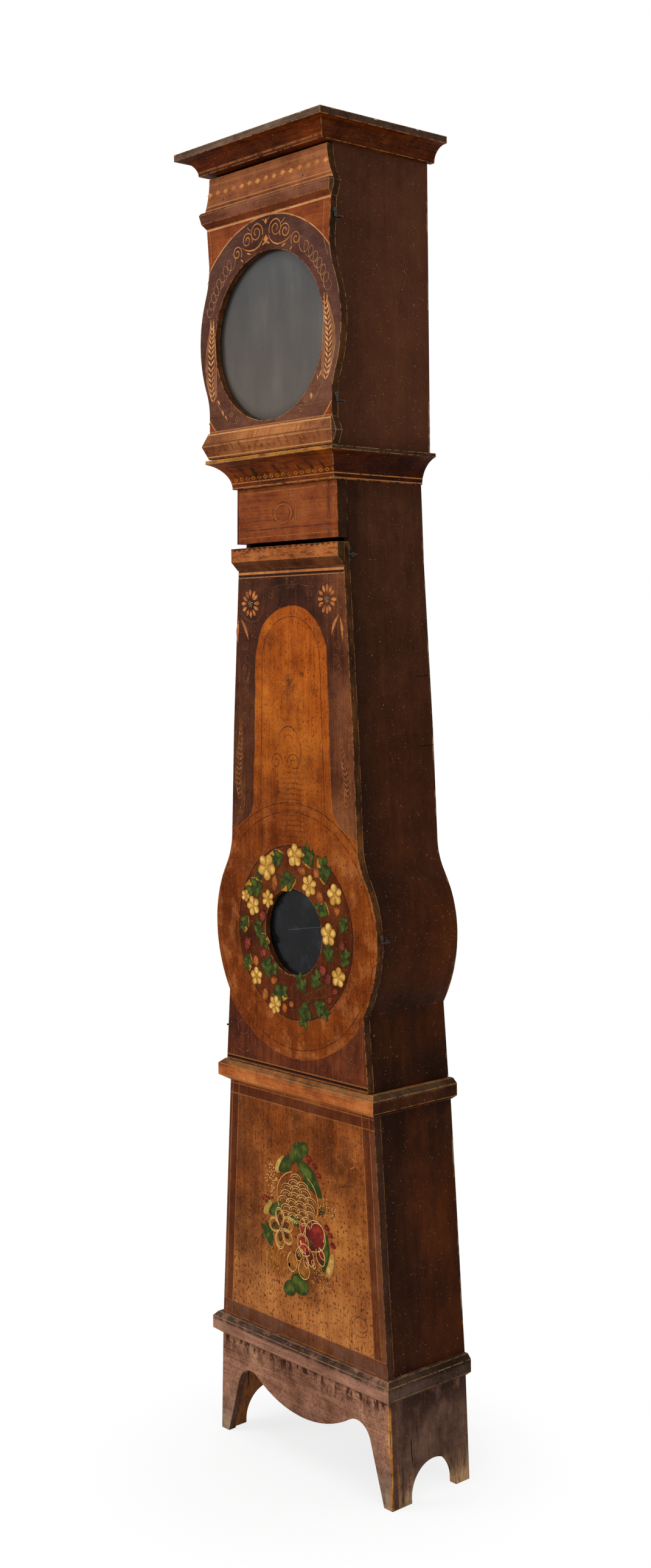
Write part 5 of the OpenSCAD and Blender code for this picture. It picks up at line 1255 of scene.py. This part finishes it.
cast = clouded("rough_sand_cast_iron", 24.0, 5.0, 0.65, (0.35, "#241f1c"), (0.55, "#37302b"),
               (0.72, "#5a3a28"))
sand = add(cast.t, "TexVoronoi", {"Vector": cast.place, "Scale": 420.0})
dull = add(cast.t, "MapRange", cast.cloud, 0.3, 0.7, 0.55, 0.78)
dress(cast, {"Metallic": 0.4, "Roughness": dull}, "going_weight", "strike_weight",
      relief=(0.5, 0.0008, sand))

# Cast and hammered brass wheels, drums and bell, turned on the lathe and never lacquered:
# dull yellow, brown in the hollows, with oil stains and fine turning lines.
brass = clouded("old_unlacquered_clock_brass", 38.0, 6.0, 0.65, (0.34, "#5f451f"),
                (0.50, "#93702f"), (0.66, "#b8924a"))
t = brass.t
fine = add(t, "TexNoise", {"Vector": brass.place, "Scale": 600.0, "Detail": 3.0})
coat(brass, (fine, 0.62, 0.72, 0.55), "#3f2f18")
# Turning lines on the bell and the drums run round their own upright or level axis
ripple = add(t, "VectorMath", brass.place, (0.02, 0.6, 1.0), operation="MULTIPLY")
ripple = add(t, "TexNoise", {"Vector": ripple, "Scale": 900.0, "Detail": 2.0})
dull = add(t, "MapRange", brass.cloud, 0.34, 0.66, 0.58, 0.30)
dress(brass, {"Metallic": 1.0, "Roughness": dull}, "going_drum", "strike_drum", "minute_wheel",
      "motion_wheel", "third_wheel", "escape_wheel", "pin_wheel", "bell",
      relief=(0.18, 0.0004, add(t, "ADD", ripple, fine)))

# The pendulum bob is thin sheet brass pressed over a lead filling, brown in the hollows, with
# three rope rings and a wreath of rays worked into its lens-shaped face.
pressed = clouded("pressed_sheet_brass_bob", 30.0, 6.0, 0.65, (0.30, "#59421d"),
                  (0.50, "#957132"), (0.68, "#bf9a52"))
coat(pressed, (add(pressed.t, "NewGeometry", out="Pointiness"), 0.50, 0.44, 0.7), "#3c2b12")
dull = add(pressed.t, "MapRange", pressed.cloud, 0.34, 0.66, 0.52, 0.30)
dress(pressed, {"Metallic": 1.0, "Roughness": dull}, "pendulum_bob",
      relief=(0.3, 0.0008, pressed.cloud))
bob = Vector((0.0, 0.1085, 0.9308))
bm = bmesh.new()


def on_bob(radius):
    """The point of the bob's face at that radius in metres, in the direction of +X."""
    return bob + Vector((radius, 0.011 * (radius / 0.080) ** 2 - 0.0116, 0.0))


for radius, thick in ((0.024, 0.0016), (0.063, 0.0014), (0.070, 0.0018)):
    section = bmesh.ops.create_circle(bm, segments=8, radius=thick)["verts"]
    bmesh.ops.translate(bm, verts=section, vec=on_bob(radius))
    edges = list(dict.fromkeys(edge for vert in section for edge in vert.link_edges))
    bmesh.ops.spin(bm, geom=section + edges, cent=bob, axis=(0.0, 1.0, 0.0), angle=2 * math.pi,
                   steps=96, use_merge=True)
for i in range(24):
    ray = bmesh.ops.create_icosphere(bm, subdivisions=2, radius=1.0)["verts"]
    bmesh.ops.transform(bm, verts=ray, matrix=Matrix.Translation(bob)
                        @ Matrix.Rotation(2 * math.pi * i / 24, 4, "Y")
                        @ Matrix.Translation(on_bob(0.0435) - bob) @ Matrix.Rotation(0.15, 4, "Z")
                        @ Matrix.Diagonal((0.0150, 0.0020, 0.0038, 1.0)))
bmesh.ops.remove_doubles(bm, verts=bm.verts, dist=0.00001)
piece = piece_of(bm, "pendulum_bob_pressed_work", pressed.material, smooth=True)
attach(piece, "pendulum")

# The dial surround is stamped from thin brass: a beaded ring and a fan of lobes in each
# corner. The stamped work stands 2 mm proud of the sheet.
gilt = clouded("stamped_gilt_brass_sheet", 55.0, 5.0, 0.6, (0.34, "#624a22"), (0.52, "#927340"),
               (0.70, "#b39762"))
punched = add(gilt.t, "TexVoronoi", {"Vector": gilt.place, "Scale": 520.0})
hollow = add(gilt.t, "AmbientOcclusion", {"Distance": 0.004}, out="AO", samples=4)
coat(gilt, (hollow, 0.9, 0.4, 0.8), "#3b2b12")
dull = add(gilt.t, "MapRange", gilt.cloud, 0.34, 0.7, 0.48, 0.28)
dress(gilt, {"Metallic": 1.0, "Roughness": dull}, "dial_surround", relief=(0.3, 0.0006, punched))
bm = bmesh.new()
sheet_front = -0.0495
dial_height, bead_ring = 1959, 132.6


def boss(x, z, long, wide, high, turn=0.0):
    """One stamped lobe in mm: half of a smooth egg, lying on the sheet."""
    lump = bmesh.ops.create_icosphere(bm, subdivisions=1, radius=0.001)["verts"]
    bmesh.ops.transform(bm, verts=lump, matrix=Matrix.Translation((x / 1000, sheet_front, z / 1000))
                        @ Matrix.Rotation(math.pi / 2, 4, "X")
                        @ Matrix.Rotation(math.radians(turn), 4, "Z")
                        @ Matrix.Diagonal((long / 2, wide / 2, high, 1.0)))


for i in range(96):
    # The lowest bead is left out
    if i != 72:
        boss(*polar(0, dial_height, bead_ring, i * 3.75), 3.6, 3.6, 1.6)
for hand in (-1, 1):
    for up in (-1, 1):
        for i in range(7):
            turn = 45 + (i - 3) * 19
            x, z = polar(104, 116, 17, turn)
            boss(hand * x, dial_height + up * z, 20, 5.4, 2.0, turn if hand * up > 0 else -turn)
        boss(hand * 103, dial_height + up * 115, 12, 12, 2.6)
piece = piece_of(bm, "dial_surround_stamped_work", gilt.material, smooth=True)
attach(piece, "case")

# Dial: white enamel fired on a copper plate, with fine cracks and grey in them, black
# hour numerals and a minute ring of two circles with a tick for each minute.
enamel = clouded("crackled_white_fired_enamel", 16.0, 4.0, 0.5, (0.35, "#d9d2c0"),
                 (0.65, "#ece8dc"))
t, place = enamel.t, enamel.place
shift = add(t, "TexNoise", {"Vector": place, "Scale": 60.0, "Detail": 3.0}, out="Color")
shift = add(t, "VectorMath", shift, (0.01, 0.01, 0.01), operation="MULTIPLY")
crack = add(t, "TexVoronoi", {"Vector": add(t, "VectorMath", place, shift, operation="ADD"),
                              "Scale": 45.0}, feature="DISTANCE_TO_EDGE", out="Distance")
coat(enamel, (crack, 0.012, 0.004, 0.45), "#7a7264")
dress(enamel, {"Roughness": 0.16, "IOR": 1.5}, "dial")
fired = clouded("black_fired_numeral_enamel", 260.0, 3.0, 0.5, (0.35, "#141416"),
                (0.60, "#1e1e22"), (0.75, "#3a3a40"))
dress(fired, {"Roughness": 0.22, "IOR": 1.5})
dial_front = -0.0525
minute_ring, hour_ring = (109.5, 117.0), 0.0805
pot = open_pot(dial_front)
for radius in minute_ring[::-1]:
    stroke(pot, arc(0, dial_height, radius, 0, 360, 120), 0.7)
for minute in range(60):
    inner, outer, width = (107.5, 118.5, 1.8) if minute % 5 == 0 else (*minute_ring, 0.8)
    stroke(pot, [polar(0, dial_height, radius, minute * 6) for radius in (inner, outer)], width)
for hour, numeral in enumerate("XII I II III IIII V VI VII VIII IX X XI".split()):
    letters = bpy.data.curves.new("hour_numeral", "FONT")
    letters.body = numeral
    letters.size = 0.030
    letters.align_x = "CENTER"
    letters.extrude = 0.0002
    letters.offset = 0.0005
    flat = mesh_of("hour_numeral", letters)
    flat.transform(Matrix.Translation((0.0, dial_front, dial_height / 1000))
                   @ Matrix.Rotation(math.pi / 2, 4, "X")
                   @ Matrix.Rotation(math.radians(-30 * hour), 4, "Z")
                   @ Matrix.Translation((0.0, hour_ring, 0.0))
                   @ Matrix.Diagonal((0.72, 1.0, 1.0, 1.0)))
    pot.bm.from_mesh(flat)
    bpy.data.meshes.remove(flat)
use_up(pot, "dial_numerals_and_minute_ring", fired.material, "case")

# Hands: pierced and filed from sheet brass in the old pattern, gilded once and now dull.
filed = clouded("filed_and_gilded_hand_brass", 260.0, 5.0, 0.65, (0.35, "#6b4d1e"),
                (0.55, "#9c7a38"), (0.75, "#c39d55"))
dress(filed, {"Metallic": 1.0, "Roughness": 0.40}, "hour_hand", "minute_hand",
      relief=(0.3, 0.0003, filed.cloud))

# Gut lines, 1.5 mm thick, of twisted gut gone brown: each is wound on its drum, leaves it
# at the side and drops to its weight. The fall grows as the weight goes down.
gut = blank("brown_twisted_gut")
t = gut.t
x, y, z = add(t, "SeparateXYZ", gut.place).node.outputs
# One twist in about 3 mm, drawn as slanting bands
twist = add(t, "SINE", add(t, "ADD", add(t, "MULTIPLY", z, 2100.0),
                           add(t, "MULTIPLY", add(t, "ADD", x, y), 2600.0)))
fray = add(t, "TexNoise", {"Vector": gut.place, "Scale": 500.0, "Detail": 3.0})
gut.colour = add(t, "ValToRGB", add(t, "MULTIPLY_ADD", twist, 0.16, fray),
                 stops=[(0.30, "#5d4122"), (0.55, "#8e6c3c"), (0.80, "#b59359")])
dress(gut, {"Roughness": 0.5, "IOR": 1.5, "Specular IOR Level": 0.35},
      relief=(0.5, 0.0003, twist))
gut_radius = 0.00078
drum_middle, drum_axis, drum_height, wound_radius = 0.052, 0.0415, 1.9193, 0.0268
fall_foot = 1.4236
turns, steps = 14, 36
for hand, train in ((-1, "going"), (1, "strike")):
    bm = bmesh.new()
    # The fall is cut into 50 mm lengths
    section = bmesh.ops.create_circle(bm, segments=8, radius=gut_radius)["verts"]
    fall_x = hand * (drum_middle + wound_radius)
    bmesh.ops.translate(bm, verts=section, vec=(fall_x, drum_axis, fall_foot))
    edges = list(bm.edges)
    bmesh.ops.contextual_create(bm, geom=edges)
    for i in range(10):
        made = bmesh.ops.extrude_edge_only(bm, edges=edges)["geom"]
        bmesh.ops.translate(bm, verts=[v for v in made if isinstance(v, bmesh.types.BMVert)],
                            vec=(0.0, 0.0, (drum_height - fall_foot) / 10))
        edges = [e for e in made if isinstance(e, bmesh.types.BMEdge) and len(e.link_faces) == 1]
    bmesh.ops.contextual_create(bm, geom=edges)
    fall = piece_of(bm, train + "_gut_fall", gut.material, smooth=True)
    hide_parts(train + "_line")
    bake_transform(fall)
    # Fourteen turns on the drum, from the point where the fall leaves it towards the front
    name = train + "_gut_winding"
    wound = bpy.data.curves.new(name, "CURVE")
    wound.dimensions = "3D"
    wound.bevel_depth = gut_radius
    wound.bevel_resolution = 0
    wound.use_fill_caps = True
    spiral = wound.splines.new("POLY")
    spiral.points.add(turns * steps)
    for i, point in enumerate(spiral.points):
        a = hand * i / steps * 2 * math.pi
        point.co = (hand * (drum_middle + wound_radius * math.cos(a)),
                    drum_axis + 0.0016 * i / steps, drum_height + wound_radius * math.sin(a), 1.0)
    winding = mesh_of(name, wound)
    winding.shade_smooth()
    winding.materials.append(gut.material)
    piece = put_out(name, winding)
    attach(piece, train + "_drum")

low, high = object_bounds()
